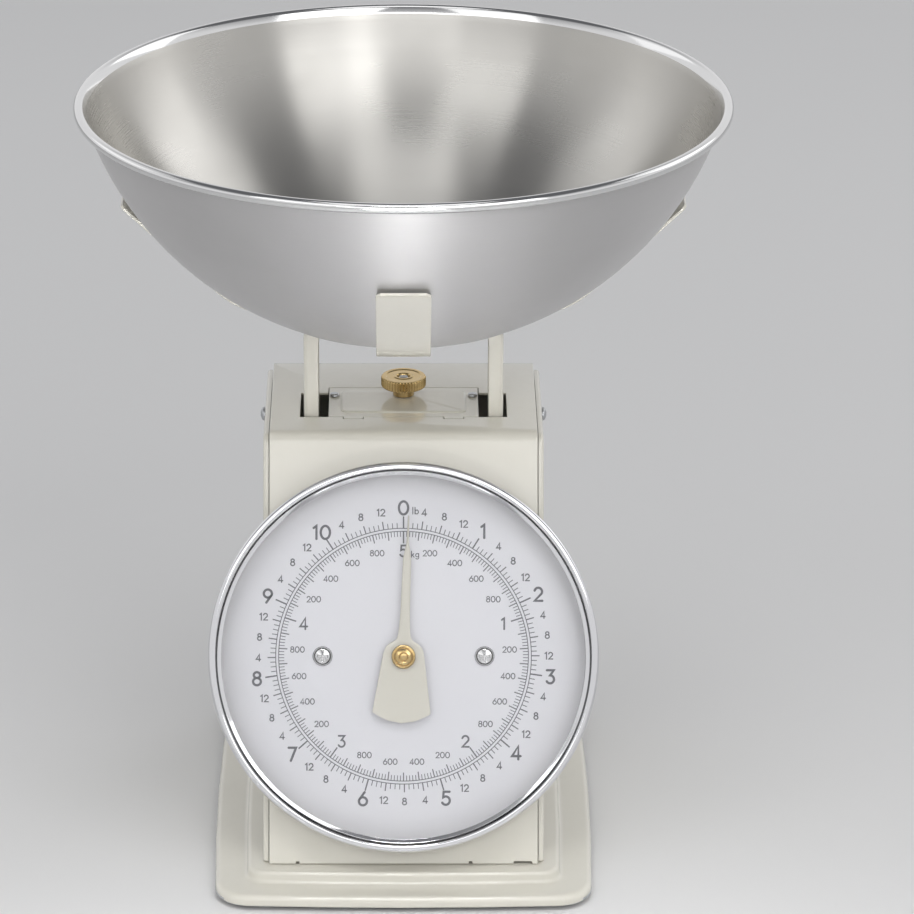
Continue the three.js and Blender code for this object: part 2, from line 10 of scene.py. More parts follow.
import bmesh
import bpy
import numpy as np
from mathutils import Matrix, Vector


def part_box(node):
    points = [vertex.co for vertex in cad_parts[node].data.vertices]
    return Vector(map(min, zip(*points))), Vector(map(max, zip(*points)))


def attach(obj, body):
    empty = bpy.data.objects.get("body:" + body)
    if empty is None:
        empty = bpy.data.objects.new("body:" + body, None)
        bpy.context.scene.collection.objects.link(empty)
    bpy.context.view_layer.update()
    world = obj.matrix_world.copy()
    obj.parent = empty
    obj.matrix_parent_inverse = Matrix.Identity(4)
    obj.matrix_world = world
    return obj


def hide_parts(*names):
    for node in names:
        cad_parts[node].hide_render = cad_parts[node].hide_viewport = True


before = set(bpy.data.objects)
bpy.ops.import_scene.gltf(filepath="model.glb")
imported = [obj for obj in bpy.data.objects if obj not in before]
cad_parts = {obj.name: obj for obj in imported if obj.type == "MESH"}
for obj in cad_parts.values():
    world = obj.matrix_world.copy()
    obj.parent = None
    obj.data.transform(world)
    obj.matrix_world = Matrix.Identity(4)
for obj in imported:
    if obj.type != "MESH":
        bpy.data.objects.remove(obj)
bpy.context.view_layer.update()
MM = 0.001
GAP = 0.3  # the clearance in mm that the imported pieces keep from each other

# %% [markdown]
# ## The camera
# A long lens stands about 1.7 m in front of the bowl's middle and looks down by 22 degrees, so
# the dial, which leans back by the same angle, is seen square on. A short lens near the scale would
# make the bowl look much larger than the base. The shift puts the scale left of the middle.

# %% Place the camera
LENS_MM, LENS_SHIFT = 196.94, 0.0585
EYE = (0.0, -1.7357, 0.8332)
LOOK_DOWN = math.radians(21.88)

lens_data = bpy.data.cameras.new("portrait_lens")
lens_data.lens = LENS_MM
lens_data.sensor_width = 36.0
lens_data.shift_x = LENS_SHIFT
camera = bpy.data.objects.new("portrait_camera", lens_data)
camera.location = EYE
camera.rotation_euler = (math.pi / 2 - LOOK_DOWN, 0.0, 0.0)
bpy.context.scene.collection.objects.link(camera)
bpy.context.scene.camera = camera
bpy.context.scene.view_settings.view_transform = "Standard"
print("camera looks down by", round(math.degrees(LOOK_DOWN), 1), "degrees")

# %% [markdown]
# ## Skins on a grid
# Almost every part here is pressed, turned or bent, so its skin is a grid of points: one
# parameter runs along a profile and the other runs round it. Modelling by hand would do too, but a
# formula keeps each radius exact and easy to change. A row whose points all meet becomes a pole.

# %% Turn grids of points into one closed mesh
MERGE, SLIVER = 1e-6, 1e-7  # metres


def skinned(name, *grids, sharp=35.0):
    """Each grid is rows x columns x 3 in mm. Its columns run round and close; quads join the rows.
    A grid may come with the number of the material that it wears. Points that meet are merged, and
    edges that turn by more than `sharp` degrees stay crisp."""
    points, quads, wears = [], [], []
    start = 0
    for grid in grids:
        grid, worn = grid if isinstance(grid, tuple) else (grid, 0)
        rows, columns = grid.shape[:2]
        number = start + np.arange(rows * columns).reshape(rows, columns)
        near, far = number[:-1], number[1:]
        round_near, round_far = np.roll(near, -1, axis=1), np.roll(far, -1, axis=1)
        quads.append(np.stack([near, round_near, round_far, far], axis=-1).reshape(-1, 4))
        wears.append(np.full((rows - 1) * columns, worn))
        points.append(grid.reshape(-1, 3))
        start += rows * columns
    points, quads = np.concatenate(points) * MM, np.concatenate(quads)
    mesh = bpy.data.meshes.new(name)
    mesh.vertices.add(len(points))
    mesh.vertices.foreach_set("co", points.ravel())
    mesh.loops.add(quads.size)
    mesh.loops.foreach_set("vertex_index", quads.ravel().astype(np.int32))
    mesh.polygons.add(len(quads))
    mesh.polygons.foreach_set("loop_start", np.arange(0, quads.size, 4, dtype=np.int32))
    mesh.polygons.foreach_set("material_index", np.concatenate(wears).astype(np.int32))
    mesh.update(calc_edges=True)
    closed = bmesh.new()
    closed.from_mesh(mesh)
    bmesh.ops.remove_doubles(closed, verts=closed.verts, dist=MERGE)
    bmesh.ops.dissolve_degenerate(closed, edges=closed.edges, dist=SLIVER)
    bmesh.ops.recalc_face_normals(closed, faces=closed.faces)
    closed.to_mesh(mesh)
    closed.free()
    mesh.polygons.foreach_set("use_smooth", np.ones(len(mesh.polygons), bool))
    mesh.set_sharp_from_angle(angle=math.radians(sharp))
    made = bpy.data.objects.new(name, mesh)
    bpy.context.scene.collection.objects.link(made)
    return made


print("points within", MERGE / MM, "mm become one")

# %% [markdown]
# ## Turned shapes and round corners
# What a lathe makes is a profile turned about an axis. Bent sheet has round corners, so one helper
# puts arcs into a line of straight sides. Bevelling the finished mesh would also round it, but then
# neighbouring corners get in each other's way, and each arc here has its own radius.

# %% Turn a profile and round its corners
def turned(profile, columns, ripple=None):
    """A profile of (radius, height) points turned about Z. ripple(angle) adds to the radius where
    the profile's third number, from 0 to 1, lets it."""
    profile = np.asarray(profile, float)
    angle = np.linspace(0.0, 2 * np.pi, columns, endpoint=False)
    radius = np.repeat(profile[:, :1], columns, axis=1)
    if ripple is not None:
        radius = radius + profile[:, 2:3] * ripple(angle)[None, :]
    height = np.repeat(profile[:, 1:2], columns, axis=1)
    return np.stack([radius * np.cos(angle), radius * np.sin(angle), height], axis=-1)


def rounded(corners, radii, steps=6):
    """A polyline whose corners are arcs: each corner gives way to points on a circle that touches
    both of its sides. The circle's middle lies on the line that halves the corner, by the radius
    over the sine of half its angle. A radius of 0 keeps the corner."""
    corners = [np.asarray(c, float) for c in corners]
    line = []
    for i, corner in enumerate(corners):
        radius = radii[i]
        if radius == 0 or i in (0, len(corners) - 1):
            line.append(corner[None, :])
            continue
        back = (corners[i - 1] - corner) / np.linalg.norm(corners[i - 1] - corner)
        on = (corners[i + 1] - corner) / np.linalg.norm(corners[i + 1] - corner)
        half = np.arccos(np.clip(back @ on, -1, 1)) / 2
        middle = corner + (back + on) / np.linalg.norm(back + on) * radius / np.sin(half)
        first = corner + back * radius / np.tan(half) - middle
        last = corner + on * radius / np.tan(half) - middle
        turn = np.linspace(0, 1, steps + 1)[:, None]
        sweep = np.pi - 2 * half
        swung = np.sin((1 - turn) * sweep) * first + np.sin(turn * sweep) * last
        line.append(middle + swung / np.sin(sweep))
    return np.concatenate(line)


def ring_of(corners, radii, steps):
    """The same for a closed outline: every corner is rounded, and the last joins the first."""
    looped = [corners[-1], *corners, corners[0]]
    return rounded(looped, [0, *radii, 0], steps)[1:-1]


def capped(grid):
    """A row at each end whose points all meet in the middle, so that the skin is closed."""
    first, last = grid[:1].mean(axis=1, keepdims=True), grid[-1:].mean(axis=1, keepdims=True)
    width = grid.shape[1]
    return np.concatenate([np.repeat(first, width, axis=1), grid, np.repeat(last, width, axis=1)])


corner_points = len(rounded([(0, 0), (9, 0), (9, 9)], [0, 5, 0])) - 2
print("points on one round corner:", corner_points)

# %% [markdown]
# ## Pieces that ride
# A finished skin wears its materials, hides the imported pieces that it stands for, and rides on the body
# that carries them, so that it moves when the scale does.

# %% Hand a skin to its body
def wear(made, body, slot, *looks, stands_for=()):
    """Puts materials on a piece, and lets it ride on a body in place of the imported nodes."""
    for look in looks:
        made.data.materials.append(look)
    if stands_for:
        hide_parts(*stands_for)
    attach(made, body)
    print(made.name, len(made.data.polygons), "faces")


# %% [markdown]
# ## Colours and node helpers
# Paint colours are written as sRGB hex values, the way a colour card or a web page gives them. The
# shader counts in linear light, so one function converts them. One small function adds a node.

# %% Colour and node helpers
def to_linear(hex_colour):
    """sRGB to linear light: a short straight part near black, then a power of 2.4."""
    code = np.array([int(hex_colour[i:i + 2], 16) for i in (1, 3, 5)]) / 255.0
    linear = np.where(code <= 0.04045, code / 12.92, ((code + 0.055) / 1.055) ** 2.4)
    return (*linear.tolist(), 1.0)


def add_node(tree, kind, values=None, links=None, **settings):
    """Adds one node: its settings, the values of its sockets, and the links into its sockets."""
    made = tree.nodes.new(kind)
    for key, value in settings.items():
        setattr(made, key, value)
    for socket, value in (values or {}).items():
        made.inputs[socket].default_value = value
    for socket, source in (links or {}).items():
        tree.links.new(source, made.inputs[socket])
    return made


def new_finish(name, **values):
    """A material with one Principled shader, and the Object coordinates that its patterns read."""
    look = bpy.data.materials.new(name)
    look.use_nodes = True
    tree = look.node_tree
    shader = tree.nodes["Principled BSDF"]
    for socket, value in values.items():
        shader.inputs[socket.replace("_", " ")].default_value = value
    where = add_node(tree, "ShaderNodeTexCoord").outputs["Object"]
    return look, tree, shader, where


def per_metre(size_mm):
    """A noise texture's scale for features of a given size."""
    return 1000.0 / size_mm


def two_tones(tree, where, size_mm, first, second, detail=3.0):
    """Soft patches of two near colours, so that a surface isn't one flat tone."""
    patches = add_node(tree, "ShaderNodeTexNoise", {"Scale": per_metre(size_mm), "Detail": detail},
                       {"Vector": where})
    mix = add_node(tree, "ShaderNodeMix", links={"Factor": patches.outputs["Fac"]}, data_type="RGBA")
    mix.inputs["A"].default_value = to_linear(first)
    mix.inputs["B"].default_value = to_linear(second)
    return mix.outputs["Result"]


def mapped(tree, source, low, high, start=0.3, stop=0.7):
    """Stretches a noise's middle values to a range."""
    return add_node(tree, "ShaderNodeMapRange", {1: start, 2: stop, 3: low, 4: high},
                    {0: source}).outputs[0]


print("mid grey #808080 in linear light:", round(to_linear("#808080")[0], 3))

# %% [markdown]
# ## Cream stove enamel
# The housing, base, platform and pointer are steel with a cream powder enamel. Melted powder levels
# out in waves of about 2 mm, called orange peel, so reflections have slightly soft, wandering edges.
# A thin clear skin over a rougher base gives that satin gloss.

# %% Cream stove enamel
def cream_enamel(name, light, deep, peel_mm):
    """Two near creams, a rough base under a glossy coat, and waves of orange peel."""
    look, tree, shader, where = new_finish(name, IOR=1.5, Coat_Weight=0.9, Coat_Roughness=0.08)
    tree.links.new(two_tones(tree, where, 30.0, light, deep), shader.inputs["Base Color"])
    peel = add_node(tree, "ShaderNodeTexNoise", {"Scale": per_metre(peel_mm), "Detail": 2.0},
                    {"Vector": where})
    tree.links.new(mapped(tree, peel.outputs["Fac"], 0.34, 0.44), shader.inputs["Roughness"])
    bump = add_node(tree, "ShaderNodeBump", {"Strength": 0.12, "Distance": 0.0002},
                    {"Height": peel.outputs["Fac"]})
    tree.links.new(bump.outputs["Normal"], shader.inputs["Normal"])
    return look


enamel = cream_enamel("cream_stove_enamel", "#D8D5CA", "#D2CFC3", 2.2)
print("enamel:", enamel.name)

# %% [markdown]
# ## Spun stainless steel
# The bowl is spun: a disc turns fast while a roller presses it over a form, and the polish runs round
# it too. The fine rings scatter light across themselves, so reflections stretch up and down the wall
# in broad soft bands. Real rings are some hundredths of a millimetre wide, far too fine to see here,
# so the drawn ones are 0.6 mm apart, and anisotropy does the stretching.

# %% Spun steel
RING_MM, RING_DEPTH = 0.6, 0.00001


def spun_steel(name, light, deep, rough, stretch):
    """Rings are noise that reads only the distance from the axis and the height. The tangent runs
    round the axis, and a quarter turn of it stretches reflections up and down the wall."""
    look, tree, shader, where = new_finish(
        name, Metallic=1.0, Anisotropic=stretch, Anisotropic_Rotation=0.25)
    parts = add_node(tree, "ShaderNodeSeparateXYZ", links={0: where})
    flat = add_node(tree, "ShaderNodeCombineXYZ", links={0: parts.outputs[0], 1: parts.outputs[1]})
    radius = add_node(tree, "ShaderNodeVectorMath", links={0: flat.outputs[0]}, operation="LENGTH")
    rings = add_node(tree, "ShaderNodeCombineXYZ",
                     links={0: radius.outputs["Value"], 1: parts.outputs[2]})
    fine = add_node(tree, "ShaderNodeTexNoise", {"Scale": per_metre(RING_MM), "Detail": 4.0},
                    {"Vector": rings.outputs[0]})
    cloud = add_node(tree, "ShaderNodeTexNoise", {"Scale": per_metre(45.0), "Detail": 3.0},
                     {"Vector": where})
    tree.links.new(two_tones(tree, where, 60.0, light, deep), shader.inputs["Base Color"])
    both = add_node(tree, "ShaderNodeMath", {1: 0.35}, {0: fine.outputs["Fac"], 2: cloud.outputs["Fac"]},
                    operation="MULTIPLY_ADD")
    tree.links.new(mapped(tree, both.outputs[0], rough * 0.85, rough * 1.2, 0.4, 0.9),
                   shader.inputs["Roughness"])
    bump = add_node(tree, "ShaderNodeBump", {"Strength": 0.25, "Distance": RING_DEPTH},
                    {"Height": fine.outputs["Fac"]})
    tree.links.new(bump.outputs["Normal"], shader.inputs["Normal"])
    round_it = add_node(tree, "ShaderNodeTangent", direction_type="RADIAL", axis="Z")
    tree.links.new(round_it.outputs[0], shader.inputs["Tangent"])
    return look


bowl_outside = spun_steel("spun_steel_satin_outside", "#CFCECE", "#C6C5C5", 0.46, 0.9)
bowl_inside = spun_steel("spun_steel_polished_inside", "#C8C6C2", "#BFBDB8", 0.28, 0.85)
bowl_rim = spun_steel("rolled_steel_polished_rim", "#E2E2E2", "#D8D8D8", 0.1, 0.0)
print("bowl:", bowl_outside.name, bowl_inside.name, bowl_rim.name)

# %% [markdown]
# ## Plated and turned metals
# Chrome plate is almost a mirror, and bright nickel nearly so. Brass is turned and left bare, so it
# is a warm yellow with a light haze. Zinc plate is duller, with faint patches where the bath left
# the layer uneven. One recipe serves them all: only the colours, the gloss and the patches differ.

# %% Plated and turned metals
def plated(name, light, deep, rough, patch_mm, spread=0.25):
    """Patches of two near colours, and a finer haze that varies the roughness by `spread`."""
    look, tree, shader, where = new_finish(name, Metallic=1.0)
    tree.links.new(two_tones(tree, where, patch_mm, light, deep), shader.inputs["Base Color"])
    haze = add_node(tree, "ShaderNodeTexNoise", {"Scale": per_metre(patch_mm * 0.4), "Detail": 4.0},
                    {"Vector": where})
    tree.links.new(mapped(tree, haze.outputs["Fac"], rough * (1 - spread), rough * (1 + spread)),
                   shader.inputs["Roughness"])
    bump = add_node(tree, "ShaderNodeBump", {"Strength": 0.08, "Distance": 0.00005},
                    {"Height": haze.outputs["Fac"]})
    tree.links.new(bump.outputs["Normal"], shader.inputs["Normal"])
    return look


chrome = plated("chrome_plate_on_brass", "#E0E0E2", "#D6D6D9", 0.06, 20.0)
brass = plated("turned_brass", "#CBB384", "#B79C66", 0.15, 3.0)
zinc = plated("zinc_plated_steel", "#C3C5C7", "#ACAEB1", 0.33, 5.0)
nickel = plated("bright_nickel_plate", "#DCDCDC", "#C9C9CA", 0.16, 2.0)
spring_wire = plated("drawn_spring_wire", "#B4B4B6", "#9C9CA0", 0.3, 2.0)
print("metals:", chrome.name, brass.name, zinc.name, nickel.name, spring_wire.name)

# %% [markdown]
# ## Dial lacquer, ink, window and rubber
# The dial plate is lacquered white, with a print in grey ink that lies on it as a very thin film.
# The window is clear acrylic: mostly see-through, with a mirror image that grows towards its edge
# as the Fresnel law says. The feet are moulded rubber with a fine matt grain.

# %% Dial, window and foot materials
def lacquer(name, light, deep, rough, patch_mm, grain_mm):
    """Patches of two near colours under a fine grain that varies the roughness and the height."""
    look, tree, shader, where = new_finish(name, IOR=1.5)
    tree.links.new(two_tones(tree, where, patch_mm, light, deep), shader.inputs["Base Color"])
    grain = add_node(tree, "ShaderNodeTexNoise", {"Scale": per_metre(grain_mm), "Detail": 3.0},
                     {"Vector": where})
    tree.links.new(mapped(tree, grain.outputs["Fac"], rough - 0.06, rough + 0.06),
                   shader.inputs["Roughness"])
    bump = add_node(tree, "ShaderNodeBump", {"Strength": 0.1, "Distance": 0.0001},
                    {"Height": grain.outputs["Fac"]})
    tree.links.new(bump.outputs["Normal"], shader.inputs["Normal"])
    return look


def clear_window(name):
    """Transparent where it is faced and a mirror where it is grazed. The Fresnel node gives the
    mirror's share, so the mirror itself reflects everything, as a metal does."""
    look, tree, shader, where = new_finish(name, IOR=1.49, Metallic=1.0)
    tree.links.new(two_tones(tree, where, 50.0, "#FFFFFF", "#FAFBFB"), shader.inputs["Base Color"])
    swirl = add_node(tree, "ShaderNodeTexNoise", {"Scale": per_metre(40.0)}, {"Vector": where})
    tree.links.new(mapped(tree, swirl.outputs["Fac"], 0.02, 0.05), shader.inputs["Roughness"])
    facing = add_node(tree, "ShaderNodeFresnel", {"IOR": 1.3})
    see_through = add_node(tree, "ShaderNodeBsdfTransparent")
    out = tree.nodes["Material Output"]
    mix = add_node(tree, "ShaderNodeMixShader", links={
        0: facing.outputs[0], 1: see_through.outputs[0], 2: shader.outputs[0]})
    tree.links.new(mix.outputs[0], out.inputs["Surface"])
    return look


dial_white = lacquer("white_dial_lacquer", "#E6E6EA", "#E1E1E6", 0.42, 40.0, 1.2)
ink = lacquer("grey_screen_ink", "#68696E", "#707176", 0.5, 6.0, 0.5)
rubber = lacquer("moulded_rubber", "#2B2B2C", "#232324", 0.75, 8.0, 0.6)
window = clear_window("clear_acrylic_window")
print("dial and feet:", dial_white.name, ink.name, rubber.name, window.name)

# %% [markdown]
# ## The bowl
# The bowl is a shallow part of a sphere, 240 mm across, with a flat floor to stand on and its edge
# rolled outwards into a bead. Everything about it is round, so its section is worked out once and
# turned about the upright axis. The sphere's centre lies above the rim, because the bowl is less
# than a half sphere.

# %% Spin the bowl
RIM_Z = 275.0
BEAD_RADIUS, BEAD_CENTRE = 1.9, 118.07
BOWL_SPHERE, SPHERE_Z = 121.5, RIM_Z + 34.3
FLOOR_Z, WALL = RIM_Z - 78.5, 0.8
FLOOR_MIDDLE, FLOOR_EDGE = 20, 44.0
WALL_START = np.arcsin((FLOOR_EDGE + 9) / BOWL_SPHERE)
WALL_STOP = np.arccos((SPHERE_Z - RIM_Z + 1.2) / BOWL_SPHERE)


def sphere_line(radius, start, stop, count):
    """Points on a meridian: radius sin(a) across, the centre's height less radius cos(a) up."""
    angle = np.linspace(start, stop, count)
    return np.stack([radius * np.sin(angle), SPHERE_Z - radius * np.cos(angle)], axis=1)


def knee(lift):
    """The soft bend from the flat floor into the wall: a parabola that leaves the floor's line at
    one end and meets the wall at the other, steered by the point between them."""
    radius = BOWL_SPHERE - lift
    low = np.array([FLOOR_EDGE - 3.0, FLOOR_Z + lift])
    high = sphere_line(radius, WALL_START, WALL_START, 1)[0]
    steer = np.array([FLOOR_EDGE + 3.4 - lift * 0.3, FLOOR_Z + lift])
    t = np.linspace(0, 1, 9)[:, None]
    return (1 - t) ** 2 * low + 2 * t * (1 - t) * steer + t ** 2 * high


bead_angle = np.radians(np.linspace(-125, 150, 26))
bead = np.stack([BEAD_CENTRE + BEAD_RADIUS * np.cos(bead_angle),
                 RIM_Z + BEAD_RADIUS * np.sin(bead_angle)], axis=1)
outside = np.concatenate([[[0, FLOOR_Z], [FLOOR_MIDDLE, FLOOR_Z]], knee(0.0),
                          sphere_line(BOWL_SPHERE, WALL_START, WALL_STOP, 40)[1:]])
inside = np.concatenate([sphere_line(BOWL_SPHERE - WALL, WALL_STOP - 0.001, WALL_START, 40)[:-1],
                         knee(WALL)[::-1], [[FLOOR_MIDDLE, FLOOR_Z + WALL], [0, FLOOR_Z + WALL]]])
rim = np.concatenate([outside[-1:], bead, inside[:1]])
bowl = skinned("spun_bowl", (turned(outside, 256), 0), (turned(rim, 256), 1),
               (turned(inside, 256), 2), sharp=60.0)
wear(bowl, "bowl", "bowl_steel", bowl_outside, bowl_rim, bowl_inside, stands_for=["bowl"])

# %% [markdown]
# ## The cradle
# Two crossed strips carry the bowl, so that four arms reach out. Each arm lies flat at the middle,
# bends up and leans against the bowl's wall. A Solidify modifier could thicken a bent plane, but the
# strip's section carried along the bent line gives it round edges as well. Near the tip the section
# narrows, which rounds the corners, and the end bulges a little.

# %% Bend the four arms
ARM_WIDTH, ARM_THICK = 19.5, 1.16
ARM_START, ARM_FLAT, ARM_BEND, ARM_TIP = 20.0, 45.0, 62.0, 103.0
TIP_CORNER, TIP_BULGE, TIP_LENGTH = 1.6, 0.9, 12.0
HUB_RADIUS, HUB_THICK = 24.0, 1.2
CRADLE_TOP = FLOOR_Z - 0.5
TOUCH_RADIUS = 83.5
LEAN = np.arcsin(TOUCH_RADIUS / BOWL_SPHERE)


def arm_height(radius):
    """The height of the arm's upper face, on the line that misses the bowl by the clearance."""
    reach = BOWL_SPHERE + GAP
    return SPHERE_Z - reach * np.cos(LEAN) + (radius - reach * np.sin(LEAN)) * np.tan(LEAN)


def strip_section(width, thick, edge=0.35):
    """A flat strip's section: a rectangle with small round edges."""
    w, t = width / 2, thick / 2
    return ring_of([(-w, -t), (w, -t), (w, t), (-w, t)], [edge] * 4, 3)


def arm_grid():
    """Section points times the width at each step, set square to the bent line. Near the tip the
    half width loses a circle's fall, and each point is pulled back by the square of its width."""
    line = rounded([(ARM_START, CRADLE_TOP), (ARM_FLAT, CRADLE_TOP), (ARM_BEND, arm_height(ARM_BEND)),
                    (ARM_TIP, arm_height(ARM_TIP))], [0, 14.0, 30.0, 0], 8)
    tail = line[-2:]
    outer_half = tail[:1] + (tail[1:] - tail[:1]) * np.linspace(0.5, 1, 24)[:, None]
    line = np.concatenate([line[:-1], outer_half])
    along = np.gradient(line, axis=0)
    along /= np.linalg.norm(along, axis=1, keepdims=True)
    normal = np.stack([-along[:, 1], along[:, 0]], axis=1)
    left = np.linalg.norm(line - line[-1], axis=1)
    over = np.clip(TIP_CORNER - left, 0, TIP_CORNER)
    shy = TIP_CORNER - np.sqrt(np.clip(TIP_CORNER ** 2 - over ** 2, 0, None))
    section = strip_section(ARM_WIDTH, ARM_THICK)
    across = section[None, :, 0] * (1 - shy / (ARM_WIDTH / 2))[:, None]
    thick = section[None, :, 1] - ARM_THICK / 2
    spot = line[:, None, :] + normal[:, None, :] * thick[..., None]
    near_tip = np.clip(1 - left / TIP_LENGTH, 0, 1)[:, None]
    pull = TIP_BULGE * (across / (ARM_WIDTH / 2)) ** 2 * near_tip
    spot = spot - along[:, None, :] * pull[..., None]
    return capped(np.stack([spot[..., 0], across, spot[..., 1]], axis=-1))


def spun_round(grid, degrees):
    """Turns a grid about Z: x and y mix by the angle's cosine and sine."""
    c, s = math.cos(math.radians(degrees)), math.sin(math.radians(degrees))
    x, y = grid[..., 0], grid[..., 1]
    return np.stack([c * x - s * y, s * x + c * y, grid[..., 2]], axis=-1)


hub = turned([(0, CRADLE_TOP - HUB_THICK), (HUB_RADIUS, CRADLE_TOP - HUB_THICK),
              (HUB_RADIUS + 0.3, CRADLE_TOP - 0.9), (HUB_RADIUS + 0.3, CRADLE_TOP - 0.3),
              (HUB_RADIUS, CRADLE_TOP + 0.02), (0, CRADLE_TOP + 0.02)], 64)
arm = arm_grid()
cradle = skinned("cradle_of_four_arms", hub, *[spun_round(arm, turn) for turn in (0, 90, 180, 270)])
wear(cradle, "platform", "cream_enamel", enamel, stands_for=["cradle"])

# %% [markdown]
# ## The platform frame
# A channel of folded steel goes up through the top plate, across under the cradle and down again. Its
# web is carried along that path with two flanges turned inwards. The outer corners are bent on a
# radius, so the flanges meet in a small curve inside each corner.

# %% Fold the platform's channel
LEG_X, LEG_HALF, LEG_BOTTOM = 36.9, 11.0, 50.0
FRAME_TOP = CRADLE_TOP - HUB_THICK - GAP
SHEET, FLANGE = 1.2, 5.5
FOLD_RADIUS, ARCH_RADIUS = 1.2, 7.5


def channel_section():
    """Half thicknesses either side of a folded middle line: flange, web, flange."""
    half, reach = LEG_HALF - SHEET / 2, FLANGE - 0.1
    middle = rounded([(reach, -half), (SHEET / 2, -half), (SHEET / 2, half), (reach, half)],
                     [0, FOLD_RADIUS, FOLD_RADIUS, 0], 4)
    along = np.gradient(middle, axis=0)
    along /= np.linalg.norm(along, axis=1, keepdims=True)
    normal = np.stack([-along[:, 1], along[:, 0]], axis=1) * SHEET / 2
    return middle, np.concatenate([middle + normal, (middle - normal)[::-1]])


def channel_grid():
    """The section stands square to the path; its depth points to the inside of the arch."""
    path = rounded([(-LEG_X, LEG_BOTTOM), (-LEG_X, FRAME_TOP), (LEG_X, FRAME_TOP), (LEG_X, LEG_BOTTOM)],
                   [0, ARCH_RADIUS, ARCH_RADIUS, 0], 8)
    along = np.gradient(path, axis=0)
    along /= np.linalg.norm(along, axis=1, keepdims=True)
    inward = np.stack([along[:, 1], -along[:, 0]], axis=1)
    middle, section = channel_section()
    flat = np.concatenate([middle, middle[::-1]])

    def laid(outline, k):
        """The section at the path's point k: its depth goes inwards and its width along Y."""
        spot = path[k, None, :] + inward[k, None, :] * outline[:, :1]
        return np.stack([spot[:, 0], outline[:, 1], spot[:, 1]], axis=-1)[None]

    rows = [laid(flat, 0), *[laid(section, k) for k in range(len(path))], laid(flat, -1)]
    return np.concatenate(rows)


arch = skinned("platform_channel", channel_grid())
wear(arch, "platform", "cream_enamel", enamel, stands_for=["platform_frame"])

# %% [markdown]
# ## The base
# The base is pressed from one sheet: a rolled edge, a flat flange, and a raised plinth. Its section is
# carried round an outline whose sides bow outwards a little, as pressed trays do, and the outline
# shrinks as the section climbs.

# %% Press the base tray
BASE_HALF, BASE_FRONT, BASE_BACK = 70.5, -107.0, 77.0
FOOT_HIGH, FLANGE_TOP, PLINTH_TOP = 2.0, 6.0, 10.0


def tray_outline(inset, bow=2.2):
    """A rectangle with round corners, set in by `inset`. Each side bows by a parabola: its ends
    are drawn in by the bow, times the square of the way along, and its middle stays."""
    a, front, back = BASE_HALF - inset, BASE_FRONT + inset, BASE_BACK - inset
    radius = max(14.0 - inset * 0.6, 3.0)
    corners = [(-a, front), (a, front), (a, back), (-a, back)]
    ring = ring_of(corners, [radius] * 4, 12)
    ring = np.concatenate([ring, ring[:1]])
    fill = np.linspace(0, 1, 4, endpoint=False)[None, :, None]
    ring = (ring[:-1, None, :] * (1 - fill) + ring[1:, None, :] * fill).reshape(-1, 2)
    middle, deep = (front + back) / 2, (back - front) / 2
    u, v = ring[:, 0] / a, (ring[:, 1] - middle) / deep
    sag = bow * (1 - inset / 40.0)
    return np.stack([ring[:, 0] - sag * np.sign(u) * np.abs(u) ** 9 * v ** 2,
                     ring[:, 1] - sag * np.sign(v) * np.abs(v) ** 9 * u ** 2], axis=1)


tray_section = np.concatenate([
    rounded([(SHEET, FOOT_HIGH), (0, FOOT_HIGH), (0, FLANGE_TOP), (11.6, FLANGE_TOP), (12.3, PLINTH_TOP),
             (30.0, PLINTH_TOP)], [0, 0.5, 2.2, 1.6, 1.6, 0], 6),
    [(45.0, PLINTH_TOP), (45.0, PLINTH_TOP - SHEET), (13.6, PLINTH_TOP - SHEET),
     (13.0, FLANGE_TOP - SHEET), (SHEET, FLANGE_TOP - SHEET), (SHEET, FOOT_HIGH)],
])
tray_rows = []
for inset, height in tray_section:
    outline = tray_outline(inset)
    tray_rows.append(np.column_stack([outline, np.full(len(outline), height)]))
inner = int(np.argmax(tray_section[:, 0]))
meeting = [np.repeat(tray_rows[k].mean(0)[None], len(tray_rows[k]), axis=0) for k in (inner, inner + 1)]
upper = np.stack([*tray_rows[:inner + 1], meeting[0]])
lower = np.stack([meeting[1], *tray_rows[inner + 1:]])
tray = skinned("pressed_base_tray", upper, lower, sharp=50.0)
wear(tray, "housing", "cream_enamel", enamel, stands_for=["base_pan"])

# %% [markdown]
# ## Rubber feet
# Four moulded pads keep the tray off the table. A cylinder with a Bevel modifier would do, but a
# profile gives the lower edge a larger radius than the upper one.

# %% Mould the feet
FOOT_RADIUS, FOOT_X, FOOT_SET_IN = 7, 52.0, 17


def moved(grid, x=0.0, y=0.0, z=0.0):
    """The same grid, with x, y and z added to each of its points."""
    return grid + np.array([x, y, z])


foot = turned(rounded([(0, 0), (FOOT_RADIUS, 0), (FOOT_RADIUS, FOOT_HIGH), (0, FOOT_HIGH)],
                      [0, 0.9, 0.3, 0], 5), 48)
for end, y in (("front", BASE_FRONT + FOOT_SET_IN), ("rear", BASE_BACK - FOOT_SET_IN)):
    for side, x in (("left", -FOOT_X), ("right", FOOT_X)):
        name = f"foot_{end}_{side}"
        pad = skinned(f"rubber_{name}", moved(foot, x, y), sharp=50.0)
        wear(pad, "housing", "foot_rubber", rubber, stands_for=[name])

# %% [markdown]
# ## Screws and rivets
# The side covers are held by screws with a cross recess, and the top insert by two round rivets. A
# Boolean could cut the recess, but it leaves ragged faces. Pressing the height of a fine grid down
# inside the recess keeps one smooth skin.

# %% Turn the screws and rivets
HOUSE_HALF, HOUSE_TOP, HOUSE_LOW = 49.3, 157.1, 10.3
COVER_PROUD = 2.0
SHANK, SLOT_WALL = 1.4, 0.14
SKIRT, CROWN = 0.45, 0.44  # shares of a head's height: where its wall ends, and what a slot may cut
RIVET_X, KNOB_Y = 25.8, 9.3


